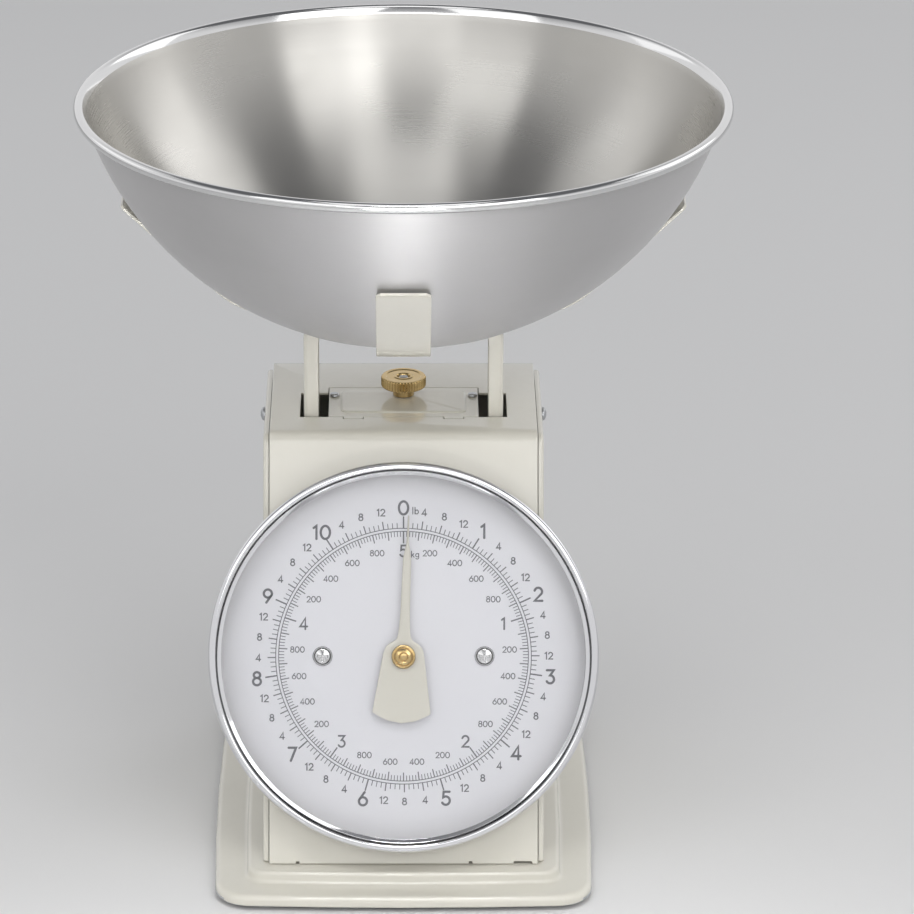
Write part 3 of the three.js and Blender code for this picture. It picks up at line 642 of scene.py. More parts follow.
def screw_grid(radius, dome, stem, slot_long, slot_wide, slot_deep, crossed=True):
    """A screw's head turned about Z, with its recess pressed in: inside the slot's outline the
    height drops by a smooth step."""
    edge = rounded([(stem, -SHANK), (stem, 0), (radius, 0), (radius, dome * SKIRT), (0, dome)],
                   [0, 0, 0.25, radius * SKIRT, 0], 8)
    fine = np.linspace(edge[-2], edge[-1], 40)
    grid = turned(np.concatenate([[[0, -SHANK]], edge[:-2], fine]), 144)
    x, y, z = grid[..., 0], grid[..., 1], grid[..., 2]

    def inside(a, b):
        """1 within the slot and 0 outside, with a short ramp at its walls."""
        long = np.clip((slot_long / 2 - np.abs(a)) / SLOT_WALL, 0, 1)
        wide = np.clip((slot_wide / 2 - np.abs(b)) / SLOT_WALL, 0, 1)
        return long * wide

    dip = np.maximum(inside(x, y), inside(y, x)) if crossed else inside(x, y)
    top = z > dome * CROWN
    grid[..., 2] = z - slot_deep * dip * top
    return grid


def on_side(grid, sign, y, z):
    """Lays a grid that points along Z on a side cover, so that it points outwards along X."""
    out = np.stack([grid[..., 2] * sign, grid[..., 1] * sign, grid[..., 0] * -1.0], axis=-1)
    return moved(out, sign * (HOUSE_HALF + GAP + COVER_PROUD + GAP), y, z)


SIDE_SCREWS = {"upper": (4.0, 152.0), "lower": (-20.0, 22.0)}
side_head = screw_grid(radius=2.6, dome=1.7, stem=1.2, slot_long=3.2, slot_wide=0.7, slot_deep=0.7)
for side, sign in (("left", -1), ("right", 1)):
    for level, (y, z) in SIDE_SCREWS.items():
        name = f"side_screw_{level}_{side}"
        head = skinned(name + "_head", on_side(side_head, sign, y, z))
        wear(head, "housing", "zinc_steel", zinc, stands_for=[name])

rivet_head = turned(rounded([(0, -2.4), (1, -2.4), (1, GAP), (1.9, GAP), (1.5, 1.1), (0, 1.1)],
                            [0, 0, 0, 0.1, 0.5, 0], 5), 40)
for side, x in (("left", -RIVET_X), ("right", RIVET_X)):
    rivet = skinned(f"insert_rivet_dome_{side}", moved(rivet_head, x, KNOB_Y, HOUSE_TOP))
    wear(rivet, "housing", "cream_enamel", zinc, stands_for=[f"insert_rivet_{side}"])

# %% [markdown]
# ## Folded sheet with cut-outs
# The wrap and the top insert have slots, notches and tabs that a grid can't hold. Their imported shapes
# are already right, so a copy of each is merged and gets a small bevel, because a folded and
# painted edge is never knife-sharp and always catches a thin line of light.

# %% Soften the edges of the folded pieces
COPY_MERGE = 2e-6  # metres
FLAT, CREASE = math.radians(2.0), math.radians(35)


def softened(name, node, width_mm):
    """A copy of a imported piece: doubles merged, flat triangles joined, and its edges bevelled."""
    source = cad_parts[node]
    mesh = source.data.copy()
    mesh.name = name
    mesh.materials.clear()
    work = bmesh.new()
    work.from_mesh(mesh)
    bmesh.ops.remove_doubles(work, verts=work.verts, dist=COPY_MERGE)
    bmesh.ops.dissolve_limit(work, angle_limit=FLAT, verts=work.verts, edges=work.edges)
    bmesh.ops.recalc_face_normals(work, faces=work.faces)
    work.to_mesh(mesh)
    work.free()
    mesh.polygons.foreach_set("use_smooth", np.ones(len(mesh.polygons), bool))
    mesh.set_sharp_from_angle(angle=CREASE)
    made = bpy.data.objects.new(name, mesh)
    bpy.context.scene.collection.objects.link(made)
    bevel = made.modifiers.new("soft_edge", "BEVEL")
    bevel.width = width_mm * MM
    bevel.segments = 3
    bevel.limit_method = "ANGLE"
    bevel.angle_limit = CREASE
    bevel.harden_normals = True
    bevel.use_clamp_overlap = True
    return made


wrap = softened("folded_housing_wrap", "housing_wrap", 0.3)
wear(wrap, "housing", "cream_enamel", enamel, stands_for=["housing_wrap"])
insert = softened("embossed_top_insert", "top_insert", 0.16)
wear(insert, "housing", "cream_enamel", enamel, stands_for=["top_insert"])

# %% [markdown]
# ## The side covers
# Each side is closed by a pressed cover that stands about 2 mm proud. Its outline is the housing's
# side, a convex shape with four sides. The outline is drawn in step by step while the height
# rises, which gives the pressed edge its soft roll.

# %% Press the side covers
TOP_FRONT, TOP_BACK = -28.3, 45.8
FRONT_SLOPE, BACK_SLOPE = 22, 6
FRONT_LEAN, BACK_LEAN = math.tan(math.radians(FRONT_SLOPE)), math.tan(math.radians(BACK_SLOPE))


def side_corners(inset):
    """The front's, top's, back's and bottom's lines, all but the last moved in by `inset`, and the
    points where neighbours cross."""
    lines = [((TOP_FRONT, HOUSE_TOP), (FRONT_LEAN, 1.0)), ((0, HOUSE_TOP), (1.0, 0.0)),
             ((TOP_BACK, HOUSE_TOP), (-BACK_LEAN, 1.0)), ((0, HOUSE_LOW), (1.0, 0.0))]
    moved_lines = []
    for k, (spot, way) in enumerate(lines):
        way = np.array(way) / np.hypot(*way)
        normal = np.array([way[1], -way[0]]) if k in (0, 1) else np.array([-way[1], way[0]])
        step = inset if k != 3 else 0.0
        moved_lines.append((np.array(spot, float) + normal * step, way))
    crossings = []
    for k in range(4):
        (p, d), (q, e) = moved_lines[k - 1], moved_lines[k]
        t = np.linalg.solve(np.stack([d, -e], axis=1), q - p)[0]
        crossings.append(p + d * t)
    return crossings


def cover_grid(sign):
    """Rows of the outline: a wall, a rolled edge, and a flat middle with a faint pressed field."""
    inner_x = HOUSE_HALF + GAP
    steps = [(1.6, 0.0), (1.6, 0.9), (1.75, 1.45), (2.1, 1.8), (2.7, 1.97), (3.5, COVER_PROUD),
             (11.0, COVER_PROUD), (11.8, 1.9), (12.8, 1.62), (13.8, 1.5), (14.6, 1.5), (16.0, 1.5)]
    rows = []
    for inset, out in steps:
        soft = [0.5, max(6.5 - inset, 2.5), max(6.5 - inset, 2.5), 0.5]
        ring = ring_of(side_corners(inset), soft, 8)
        rows.append(np.column_stack([np.full(len(ring), sign * (inner_x + out)), ring]))
    return capped(np.stack(rows))


for side, sign in (("left", -1), ("right", 1)):
    cover = skinned(f"pressed_side_cover_{side}", cover_grid(sign), sharp=50.0)
    wear(cover, "housing", "cream_enamel", enamel, stands_for=[f"side_cover_{side}"])

# %% [markdown]
# ## The dial's own frame
# The dial leans back by 22 degrees. Its parts are simplest to draw flat, with Z pointing
# at the reader, so each grid is drawn that way and then tilted and put in its place.

# %% Tilt from the dial's frame
DIAL_Y, DIAL_Z, TILT = -59.0, 81.1, math.radians(90 - FRONT_SLOPE)


def to_dial(grid):
    """Turns a grid about X by the tilt, so that y and z mix by its cosine and sine, then moves it."""
    x, y, z = grid[..., 0], grid[..., 1], grid[..., 2]
    return np.stack([x, y * math.cos(TILT) - z * math.sin(TILT) + DIAL_Y,
                     y * math.sin(TILT) + z * math.cos(TILT) + DIAL_Z], axis=-1)


print("the dial stands", round(math.degrees(TILT), 1), "degrees up from the table")

# %% [markdown]
# ## Drum, bezel and window
# The drum is a shallow pressed cup that holds the dial plate. The bezel is a rolled hoop that clamps
# the window: a straight wall, a round crest, and a lip that falls to the window. Its crest is
# narrow and almost a mirror, so it shows as a bright line with a dark one beside it.

# %% Turn the drum, plate, bezel and window
FACE_BACK, FACE_TOP = 1.4, 2.0
LENS_RADIUS, LENS_BACK, LENS_EDGE, LENS_DOME = 70.1, 9.3, 10.3, 0.6


def closed_loop(profile):
    """The profile with its first point once more at the end, so that its last side is there too."""
    return np.concatenate([profile, profile[:1]])


pan = closed_loop(rounded([(3.3, 0.3), (69.9, 0.3), (70.2, 9.0), (69.4, 9.0), (69.4, 1.1), (3.3, 1.1)],
                          [0, 1.6, 0.2, 0.2, 0.9, 0], 6))
drum = skinned("pressed_dial_drum", to_dial(turned(pan, 192)))
wear(drum, "housing", "cream_enamel", enamel, stands_for=["dial_pan"])

face = closed_loop(rounded([(4.0, FACE_BACK), (67.6, FACE_BACK), (67.6, FACE_TOP), (4.0, FACE_TOP)],
                           [0, 0.15, 0.15, 0], 3))
plate = skinned("lacquered_dial_plate", to_dial(turned(face, 192)))
wear(plate, "housing", "dial_white", dial_white, stands_for=["dial_plate"])

hoop = closed_loop(rounded([(70.5, 2.5), (71.3, 2.5), (71.3, 13.4), (68.9, 13.4), (67.9, 11.9),
                            (66.5, 11.6), (66.5, 11.1), (68.5, 11.2), (70.5, 10.4)],
                           [0, 0.2, 1.5, 1.1, 0.5, 0.15, 0.15, 0.4, 0.4], 8))
bezel = skinned("rolled_chrome_bezel", to_dial(turned(hoop, 256)), sharp=60.0)
wear(bezel, "housing", "bezel_chrome", chrome, stands_for=["bezel"])

spread = np.linspace(1, 0, 14)[:, None]
dome = np.concatenate([LENS_RADIUS * spread, LENS_EDGE + LENS_DOME * (1 - spread ** 2)], axis=1)
pane = np.concatenate([[[0, LENS_BACK], [LENS_RADIUS, LENS_BACK]], dome])
lens = skinned("clear_dial_window", to_dial(turned(pane, 192)))
wear(lens, "housing", "lens_clear", window, stands_for=["lens"])

# %% [markdown]
# ## Dial screws
# Two bright pan-head screws with a cross recess hold the plate to the drum. They are the side
# screws' shape once more, larger, and drawn in the dial's frame.

# %% Set the dial screws
DIAL_SCREW_X = 29.7
dial_head = screw_grid(radius=3.6, dome=2.0, stem=1.4, slot_long=4.4, slot_wide=0.85, slot_deep=1.0)
for side, x in (("left", -DIAL_SCREW_X), ("right", DIAL_SCREW_X)):
    screw = skinned(f"dial_screw_head_{side}", to_dial(moved(dial_head, x, 0, FACE_TOP + GAP)))
    wear(screw, "housing", "zinc_steel", nickel, stands_for=[f"dial_screw_{side}"])

# %% [markdown]
# ## The print
# The plate carries two scales. Pounds and ounces stand outside a double ring, with 16 ounces to each
# pound, and kilograms in steps of 20 g stand inside it. The ink is a film: each line is a thin
# closed bar, and all the bars are worked out at once from their angles and lengths.

# %% Print the rings and the marks
INK_LOW, INK_HIGH = FACE_TOP + 0.005, FACE_TOP + 0.03
KG_TURN, LB_IN_KG = 5.0, 0.45359237
POUNDS = 11  # 0 to 10: the eleventh would fall on the zero, so it isn't printed
OUTER_RING, INNER_RING = 46.9, 45.8


def ink_bars(turns, start, stop, wide):
    """One thin bar per mark. turns gives each mark's place as a share of the whole turn, clockwise
    from the top; start and stop are radii. Returns points and faces."""
    angle = 2 * np.pi * np.asarray(turns)
    out = np.stack([np.sin(angle), np.cos(angle)], axis=1)
    side = np.stack([out[:, 1], -out[:, 0]], axis=1) * wide / 2
    ends = [out * start - side, out * start + side, out * stop + side, out * stop - side]
    flat = np.stack(ends, axis=1)
    low = np.concatenate([flat, np.full(flat.shape[:2] + (1,), INK_LOW)], axis=2)
    high = np.concatenate([flat, np.full(flat.shape[:2] + (1,), INK_HIGH)], axis=2)
    points = np.concatenate([low, high], axis=1)
    box = np.array([[0, 1, 2, 3], [7, 6, 5, 4], [0, 4, 5, 1], [1, 5, 6, 2], [2, 6, 7, 3], [3, 7, 4, 0]])
    faces = np.arange(len(angle))[:, None, None] * 8 + box[None]
    return points.reshape(-1, 3), faces.reshape(-1, 4)


def ink_ring(radius, wide):
    """A thin square section turned about the dial's middle."""
    inner, outer = radius - wide / 2, radius + wide / 2
    return turned([(inner, INK_LOW), (outer, INK_LOW), (outer, INK_HIGH), (inner, INK_HIGH),
                   (inner, INK_LOW)], 256)


def joined(name, parts):
    """One mesh object from several arrays of points and of four-cornered faces."""
    starts = np.cumsum([0] + [len(points) for points, _ in parts[:-1]])
    points = np.concatenate([points for points, _ in parts])
    faces = np.concatenate([faces + start for (_, faces), start in zip(parts, starts)])
    mesh = bpy.data.meshes.new(name)
    mesh.from_pydata((to_dial(points) * MM).tolist(), [], faces.tolist())
    work = bmesh.new()
    work.from_mesh(mesh)
    bmesh.ops.recalc_face_normals(work, faces=work.faces)
    work.to_mesh(mesh)
    work.free()
    made = bpy.data.objects.new(name, mesh)
    bpy.context.scene.collection.objects.link(made)
    return made


ounce = np.arange(POUNDS * 16)
ounce_turn = ounce * LB_IN_KG / 16 / KG_TURN
step = np.arange(250)  # steps of 20 g, so 5 make 100 g and 50 make a kilogram
step_turn = step / 250
pound, quarter = ounce % 16 == 0, ounce % 4 == 0
kilo, hundred = step % 50 == 0, step % 5 == 0
marks = [
    ink_bars(ounce_turn[pound], OUTER_RING, 51.3, 0.52),
    ink_bars(ounce_turn[quarter & ~pound], OUTER_RING, 49.9, 0.42),
    ink_bars(ounce_turn[~quarter], OUTER_RING, 48.9, 0.3),
    ink_bars(step_turn[kilo], 41.4, INNER_RING, 0.5),
    ink_bars(step_turn[hundred & ~kilo], 42.7, INNER_RING, 0.4),
    ink_bars(step_turn[~hundred], 43.8, INNER_RING, 0.28),
]
marks_print = joined("printed_marks", marks)
wear(marks_print, "housing", "dial_white", ink)
ring_lines = [to_dial(ink_ring(radius, 0.3)) for radius in (OUTER_RING, INNER_RING)]
rings_print = skinned("printed_rings", *ring_lines)
wear(rings_print, "housing", "dial_white", ink)

# %% [markdown]
# ## The numerals
# The numerals are drawn like the printer's own: strokes of one width with round ends, along straight
# lines and arcs. A text object would give them the wrong weight. Each stroke is a centre line with
# a width, and half circles close its ends.

# %% Draw numerals from strokes
def arc(x, y, rx, ry, start, stop, count):
    """Points on part of an ellipse, in degrees anticlockwise from the right."""
    angle = np.radians(np.linspace(start, stop, count))
    return np.stack([x + rx * np.cos(angle), y + ry * np.sin(angle)], axis=1)


def run(*parts):
    """One centre line from points and arcs, end to end."""
    return np.concatenate([np.atleast_2d(np.asarray(part, float)) for part in parts])


# Each numeral is 1 high; its strokes are given in that unit, with the width that it takes.
NUMERALS = {
    "0": (0.72, [run(arc(0.36, 0.5, 0.33, 0.47, 90, 450, 40))]),
    "1": (0.34, [run((0.02, 0.82), (0.22, 0.97), (0.22, 0.03))]),
    "2": (0.62, [run(arc(0.31, 0.69, 0.27, 0.28, 165, -35, 18), (0.05, 0.03), (0.6, 0.03))]),
    "3": (0.62, [run((0.06, 0.97), (0.55, 0.97), (0.29, 0.6),
                     arc(0.29, 0.315, 0.28, 0.285, 80, -150, 20))]),
    "4": (0.68, [run((0.5, 0.03), (0.5, 0.97), (0.05, 0.26), (0.66, 0.26))]),
    "5": (0.62, [run((0.55, 0.97), (0.13, 0.97), (0.09, 0.56),
                     arc(0.28, 0.33, 0.29, 0.3, 115, -150, 22))]),
    "6": (0.64, [run((0.45, 0.97), arc(0.33, 0.32, 0.29, 0.29, 158, 518, 34))]),
    "7": (0.6, [run((0.04, 0.97), (0.57, 0.97), (0.2, 0.03))]),
    "8": (0.64, [run(arc(0.32, 0.29, 0.28, 0.26, 90, 450, 32)),
                 run(arc(0.32, 0.76, 0.23, 0.21, -90, 270, 28))]),
    "9": (0.64, [run((0.2, 0.03), arc(0.31, 0.68, 0.29, 0.29, -22, 338, 34))]),
    "l": (0.14, [run((0.07, 0.03), (0.07, 0.97))]),
    "b": (0.6, [run((0.08, 0.97), (0.08, 0.03)), run(arc(0.32, 0.31, 0.24, 0.28, 180, -180, 30))]),
    "k": (0.52, [run((0.08, 0.97), (0.08, 0.03)), run((0.46, 0.6), (0.08, 0.26)),
                 run((0.24, 0.4), (0.5, 0.03))]),
    "g": (0.6, [run(arc(0.31, 0.34, 0.24, 0.27, 0, 360, 30)), run((0.55, 0.62), (0.55, -0.05),
                    arc(0.31, -0.06, 0.24, 0.2, 0, -150, 12))]),
}
SPACE = 0.16
print("drawn characters:", " ".join(NUMERALS))

# %% [markdown]
# ## Strokes of ink
# A stroke is a film of one width along its centre line. At a bend its two edges have to stay
# parallel to both sides, so they meet on the line that halves the bend.

# %% Give the strokes their width
SAME_SPOT, RING_ENDS = 1e-6, 1e-4  # how near points are one, and how near a stroke's ends are joined


def stroke_bar(line, wide):
    """A flat bar along a centre line. Each station has a centre and a half width across the line:
    bends are mitred, and at an open end the half width falls as a half circle does."""
    step = np.diff(line, axis=0)
    line = line[np.append(True, np.linalg.norm(step, axis=1) > SAME_SPOT)]
    step = np.diff(line, axis=0)
    step /= np.linalg.norm(step, axis=1, keepdims=True)
    looped = np.linalg.norm(line[0] - line[-1]) < RING_ENDS
    before = np.concatenate([step[-1:] if looped else step[:1], step])
    after = np.concatenate([step, step[:1] if looped else step[-1:]])
    mean = (before + after) / np.linalg.norm(before + after, axis=1, keepdims=True)
    stretch = 1 / np.clip((mean * after).sum(axis=1), 0.5, 1)
    side = np.stack([-mean[:, 1], mean[:, 0]], axis=1) * (stretch * wide / 2)[:, None]
    if not looped:
        turn = np.radians(np.array([82, 65, 45, 22]))[:, None]
        out = wide / 2 * np.sin(turn)
        line = np.concatenate([line[:1] - step[0] * out, line, (line[-1:] + step[-1] * out)[::-1]])
        side = np.concatenate([side[:1] * np.cos(turn), side, (side[-1:] * np.cos(turn))[::-1]])
    section = np.stack([line + side, line - side, line - side, line + side], axis=1)
    heights = np.broadcast_to([INK_LOW, INK_LOW, INK_HIGH, INK_HIGH], section.shape[:2])
    points = np.concatenate([section, heights[..., None]], axis=2)
    corner, station = np.arange(4), 4 * np.arange(len(line) - 1)[:, None]
    beside = (corner + 1) % 4
    faces = np.stack([station + corner, station + beside, station + beside + 4, station + corner + 4],
                     axis=2).reshape(-1, 4)
    last = 4 * (len(line) - 1)
    if looped:
        return points.reshape(-1, 3)[:last], faces % last
    return points.reshape(-1, 3), np.concatenate([faces, [[3, 2, 1, 0]], [last + corner]])


print("faces of a straight stroke:", len(stroke_bar(np.array([[0.0, 0.0], [0.0, 1.0]]), 0.1)[1]))

# %% [markdown]
# ## The numbers in their places
# Each number stands upright, centred on its mark's angle. The two scales meet at the top, where the
# pounds begin and the kilograms end.

# %% Set the numbers round the dial
def numeral_parts(text, x, y, high, wide):
    """The strokes of a number, centred on a place, as closed films."""
    total = sum(NUMERALS[c][0] for c in text) + SPACE * (len(text) - 1)
    pen, parts = -total / 2, []
    for letter in text:
        width, strokes = NUMERALS[letter]
        for line in strokes:
            placed = (line + np.array([pen, -0.5])) * high + np.array([x, y])
            parts.append(stroke_bar(placed, wide))
        pen += width + SPACE
    return parts


def on_turn(turn, radius):
    """The place at a share of the whole turn, clockwise from the top: sine across, cosine up."""
    angle = 2 * math.pi * turn
    return radius * math.sin(angle), radius * math.cos(angle)


def print_numbers(name, entries):
    """entries: text, place as a share of the turn, radius, height and stroke width."""
    parts = []
    for text, turn, radius, high, wide in entries:
        x, y = on_turn(turn, radius)
        parts += numeral_parts(text, x, y, high, wide)
    wear(joined(name, parts), "housing", "dial_white", ink)


lb_turn = LB_IN_KG / KG_TURN
kilos = [(str(k or 5), k / 5, 38.6, 4.3, 0.68) for k in range(5)]  # the turn ends on 5, at the top
grams = [(str(g), (k + g / 1000) / 5, 39.0, 2.15, 0.36) for k in range(5) for g in (200, 400, 600, 800)]
pounds = [(str(k), k * lb_turn, 54.4, 5.1, 0.86) for k in range(POUNDS)]
ounces = [(str(o), (k + o / 16) * lb_turn, 53.3, 2.55, 0.46) for k in range(POUNDS) for o in (4, 8, 12)]
print_numbers("printed_pounds", pounds)
print_numbers("printed_ounces", ounces)
print_numbers("printed_kilograms", kilos)
print_numbers("printed_grams", grams)
units = numeral_parts("lb", 4.4, 53.4, 2.6, 0.36) + numeral_parts("kg", 4.2, 37.4, 2.3, 0.32)
wear(joined("printed_units", units), "housing", "dial_white", ink)

# %% [markdown]
# ## The pointer
# The pointer is one stamped blade: a needle above the hub and a broad tail below it that balances the
# needle. A flat section with round edges is carried along its length. The width follows a smooth
# curve through the shoulders, and the tail's end is an arc.

# %% Stamp the pointer
POINTER_BACK, POINTER_THICK = 5.2, 0.8
BLADE_CROWN, NEEDLE_RIDGE, OVAL = 0.14, 0.25, 0.35
TAIL_END, TAIL_CORNER, TAIL_BULGE = -21.2, 0.9, 3.2
REST_TURN = math.radians(-2.1)


def blade_grid():
    """Rows from the tail to the tip. The half width runs straight from station to station, and
    falls as a circle does at the tail's corners; the tail's rows bend down in the middle by a
    parabola. The section is a flat oval with a slight crown, which the needle sharpens into a
    ridge: powers of cosine and sine give the oval its flat sides."""
    stations = np.array([(TAIL_END, 10.55), (-20.6, 10.7), (0.5, 7.55), (2.0, 7.2), (3.4, 6.6), (4.6, 5.4),
                         (5.4, 4.0), (6.2, 2.9), (7.4, 2.4), (9.0, 2.15), (16, 1.75), (36.0, 1.5),
                         (41.5, 0.5), (51.2, 0.28), (51.7, 0.1)])
    along = np.concatenate([np.linspace(TAIL_END, -20.6, 4), np.linspace(-19, 0, 14),
                            np.linspace(0.5, 9, 36), np.linspace(11, 51.2, 60), [51.7]])
    half = np.interp(along, stations[:, 0], stations[:, 1])
    corner = np.clip((along - TAIL_END) / TAIL_CORNER, 0, 1)
    half = half - TAIL_CORNER * (1 - np.sqrt(1 - (1 - corner) ** 2))
    t = np.linspace(0, 2 * np.pi, 48, endpoint=False)
    across = np.sign(np.cos(t)) * np.abs(np.cos(t)) ** OVAL
    thick = np.sign(np.sin(t)) * np.abs(np.sin(t)) ** OVAL
    x = half[:, None] * across
    ridge = NEEDLE_RIDGE * np.clip((along - 7) / 6, 0, 1)[:, None] * (1 - np.abs(across))
    z = POINTER_BACK + POINTER_THICK / 2 * (1 + thick) - BLADE_CROWN * across ** 2 + ridge
    to_tail = np.clip((-12.0 - along) / 9.2, 0, 1)[:, None]
    y = along[:, None] - TAIL_BULGE * (1 - across ** 2) * to_tail ** 1.5
    c, s = math.cos(REST_TURN), math.sin(REST_TURN)
    return capped(np.stack([c * x - s * y, s * x + c * y, z], axis=-1))


needle = skinned("stamped_pointer", to_dial(blade_grid()), sharp=60.0)
wear(needle, "pointer", "cream_enamel", enamel, stands_for=["pointer"])

# %% [markdown]
# ## The pointer's nut
# A small brass nut holds the pointer on its shaft. It has a knurled skirt, a groove and a raised
# middle. The knurl is a ripple in the radius, which only the skirt's flank lets in.

# %% Turn the pointer's nut
NUT_RIDGES, NUT_GROOVE = 48, 0.09
nut_back = POINTER_BACK + POINTER_THICK + GAP
nut_profile = rounded([(0, nut_back), (4.5, nut_back), (4.5, nut_back + 1.55), (3.55, nut_back + 1.85),
                       (3.3, nut_back + 1.6), (3.0, nut_back + 2.3), (1.75, nut_back + 2.55),
                       (1.5, nut_back + 2.3), (1.25, nut_back + 2.7), (0, nut_back + 2.75)],
                      [0, 0.1, 0.3, 0.15, 0.1, 0.25, 0.12, 0.08, 0.15, 0], 5)
flank = (np.abs(nut_profile[:, 0] - 4.3) < 0.25) & (nut_profile[:, 1] < nut_back + 1.7)
nut_profile = np.column_stack([nut_profile, flank])
nut_grid = turned(nut_profile, 4 * NUT_RIDGES, lambda a: -NUT_GROOVE * (1 + np.cos(NUT_RIDGES * a)))
nut = skinned("turned_pointer_nut", to_dial(nut_grid))
wear(nut, "pointer", "brass", brass, stands_for=["pointer_nut"])

# %% [markdown]
# ## The zero knob
# A knurled thumb nut on the top sets the pointer to zero. Straight knurling is rolled into its
# rim, so the radius ripples with the angle there and nowhere else. Each ridge gets eight columns of
# the grid, the fewest that keep it round. The stud inside it carries the spring hanger.

# %% Turn the zero knob
EMBOSS, KNOB_RIDGES, KNOB_GROOVE, STUD_DOME = 0.4, 44, 0.24, 0.35
KNOB_LOW = HOUSE_TOP + EMBOSS + GAP
KNOB_NECK, KNOB_TOP, KNOB_RADIUS = KNOB_LOW + 3.5, KNOB_LOW + 7.5, 8.4
knob_section = rounded([(2.3, KNOB_LOW), (4.0, KNOB_LOW), (4.0, KNOB_NECK - 0.2), (5.0, KNOB_NECK),
                        (KNOB_RADIUS - 0.4, KNOB_NECK), (KNOB_RADIUS, KNOB_NECK + 0.4),
                        (KNOB_RADIUS, KNOB_TOP - 0.5), (KNOB_RADIUS - 0.5, KNOB_TOP),
                        (6.6, KNOB_TOP), (6.2, KNOB_TOP - 0.25), (3.9, KNOB_TOP - 0.25),
                        (3.5, KNOB_TOP), (2.7, KNOB_TOP), (2.3, KNOB_TOP - 0.4)],
                       [0, 0.2, 0.3, 0.2, 0.1, 0.1, 0.1, 0.15, 0.15, 0.15, 0.15, 0.15, 0.1, 0], 4)
rolled = (knob_section[:, 0] > KNOB_RADIUS - 0.25).astype(float)
knob_section = closed_loop(np.column_stack([knob_section, rolled]))
knob_grid = turned(knob_section, 8 * KNOB_RIDGES,
                   lambda a: -KNOB_GROOVE * (1 + np.cos(KNOB_RIDGES * a)))
knob = skinned("knurled_zero_knob", moved(knob_grid, 0, KNOB_Y), sharp=50.0)
wear(knob, "zero_knob", "brass", brass, stands_for=["zero_knob"])

stud = screw_grid(radius=2.0, dome=STUD_DOME, stem=2.0, slot_long=6.0, slot_wide=0.6, slot_deep=0.5,
                  crossed=False)
stud_low, stud_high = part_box("zero_stud")
risen = stud[..., 2] + stud_high[2] / MM - STUD_DOME
stud[..., 2] = np.where(stud[..., 2] < -0.2, stud_low[2] / MM, risen)
stem = skinned("slotted_zero_stud", moved(stud, 0, KNOB_Y), sharp=50.0)
wear(stem, "zero_stud", "zinc_steel", zinc, stands_for=["zero_stud"])

# %% [markdown]
# ## The pieces inside
# The movement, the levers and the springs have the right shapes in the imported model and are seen
# only through gaps, so they keep those shapes and wear zinc, brass and spring wire.

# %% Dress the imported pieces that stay
kept = {
    zinc: ["bottom_plate", "movement_bracket", "cradle_rivet_left", "cradle_rivet_right", "crossbar",
           "upper_link_rod", "lower_link_rod", "upper_lever", "lower_lever", "pivot_bracket",
           "upper_pivot_rod", "lower_pivot_rod", "spring_hanger", "pointer_shaft"],
    brass: ["pinion", "rack", "rack_guide", "front_bush", "rear_bush"],
    spring_wire: ["spring_left", "spring_right"],
}
for look, names in kept.items():
    for name in names:
        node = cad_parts[name]
        if not node.material_slots:
            node.data.materials.append(look)
        for place in node.material_slots:
            place.material = look
print("packed pieces kept:", sum(len(names) for names in kept.values()))

# %% [markdown]
# ## Floor and light
# A plain pale floor and large soft lamps, as in a product studio. The walls are white and the
# ceiling is grey, so the steel has something darker to reflect between the lamps; an all-white room
# would make it look painted. Two narrow beams fill in below: one for the bowl, one for the table.

# %% Lay the floor and hang the lamps
def pale_floor():
    """Matt paint in two greys so near that they only break up its flatness."""
    look, tree, shader, where = new_finish("pale_studio_floor", Roughness=0.9)
    tree.links.new(two_tones(tree, where, 400.0, "#E6E6E6", "#E3E3E3"), shader.inputs["Base Color"])
    return look


FLOOR_CORNERS = [(-6.0, -6.0, 0), (6.0, -6.0, 0), (6.0, 6.0, 0), (-6.0, 6.0, 0)]
floor_mesh = bpy.data.meshes.new("studio_floor")
floor_mesh.from_pydata(FLOOR_CORNERS, [], [(0, 1, 2, 3)])
floor_mesh.materials.append(pale_floor())
floor = bpy.data.objects.new("studio_floor", floor_mesh)
bpy.context.scene.collection.objects.link(floor)


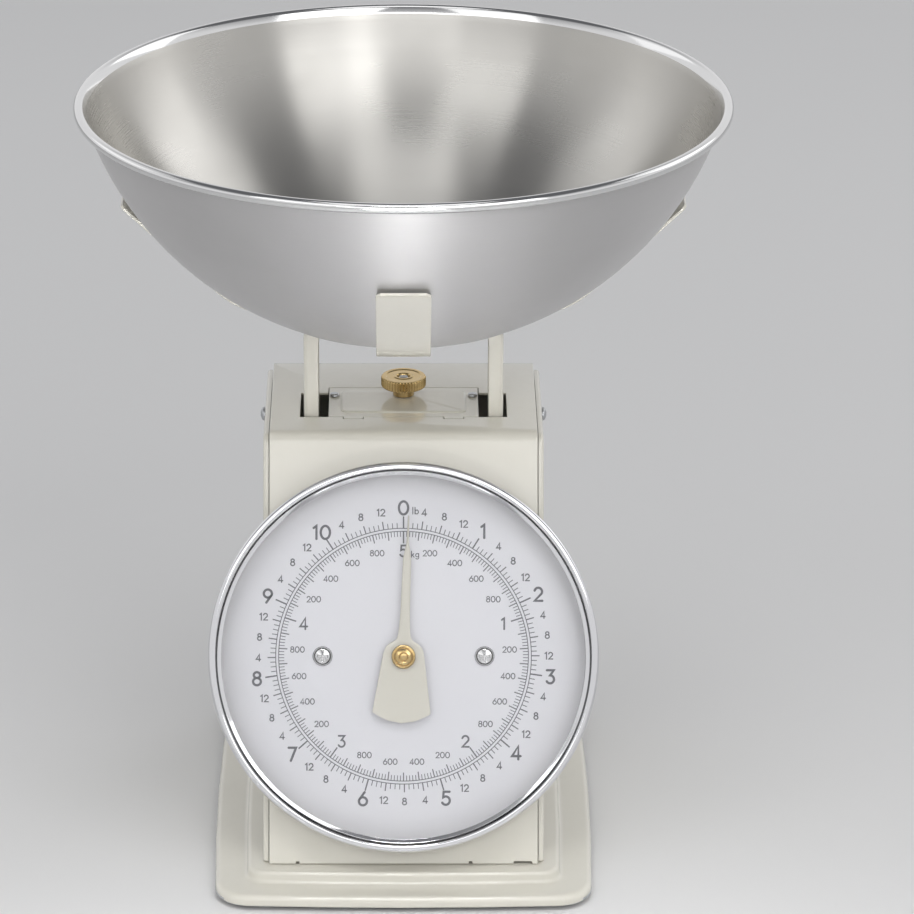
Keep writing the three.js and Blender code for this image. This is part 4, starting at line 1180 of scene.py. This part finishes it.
def soft_lamp(name, place, aim, size, watts, tall=None, beam=None):
    """A rectangular lamp that faces a point. beam narrows its light to an angle in degrees."""
    lamp = bpy.data.lights.new(name, "AREA")
    lamp.shape = "RECTANGLE"
    lamp.size, lamp.size_y = size, tall or size
    lamp.energy = watts
    if beam:
        lamp.spread = math.radians(beam)
    made = bpy.data.objects.new(name, lamp)
    made.location = place
    made.rotation_euler = (Vector(aim) - Vector(place)).to_track_quat("-Z", "Y").to_euler()
    bpy.context.scene.collection.objects.link(made)


TARGET = (0.0, 0.0, 0.15)
soft_lamp("left_softbox", (-0.95, -1.15, 1.6), TARGET, 1.0, 3.8, 1.2)
soft_lamp("right_softbox", (0.85, -1.35, 1.5), TARGET, 1.2, 7.5, 1.2)
soft_lamp("overhead_softbox", (0.0, -0.3, 2.2), TARGET, 1.1, 4.6)
soft_lamp("left_side_panel", (-1.5, 0.8, 1.3), TARGET, 1.2, 1.6)
soft_lamp("right_side_panel", (1.5, 0.8, 1.3), TARGET, 1.2, 4.0)
soft_lamp("front_fill", (0.0, -1.95, 1.25), TARGET, 1.6, 5.0, 0.5)
soft_lamp("low_front_softbox", (0.0, -1.25, 0.2), (0.0, 0.0, 0.46), 1.3, 0.85, 0.25, beam=30)
soft_lamp("table_light", (0.0, -0.7, 1.15), (0.0, -0.44, 0.0), 0.3, 0.7, beam=34)

# %% [markdown]
# ## The room
# What the metal mirrors matters as much as what lights it. A picture of a real room would do, but a
# plain change from wall to ceiling is steadier, and it needs no file.

# %% Paint the walls and the ceiling
WALL_TOP = math.sin(math.radians(25.0))
CEILING = math.sin(math.radians(50.0))
room = bpy.data.worlds.new("white_walls_grey_ceiling")
room.use_nodes = True
sky = room.node_tree
way = add_node(sky, "ShaderNodeTexCoord").outputs["Generated"]
up = add_node(sky, "ShaderNodeSeparateXYZ", links={0: way}).outputs[2]
height = mapped(sky, up, 0.0, 1.0, WALL_TOP, CEILING)
walls = add_node(sky, "ShaderNodeMix", links={"Factor": height}, data_type="RGBA")
walls.inputs["A"].default_value = to_linear("#F0F0F1")
walls.inputs["B"].default_value = to_linear("#6A6B6E")
sky.links.new(walls.outputs["Result"], sky.nodes["Background"].inputs["Color"])
sky.nodes["Background"].inputs["Strength"].default_value = 1.0
bpy.context.scene.world = room
print("room:", room.name)
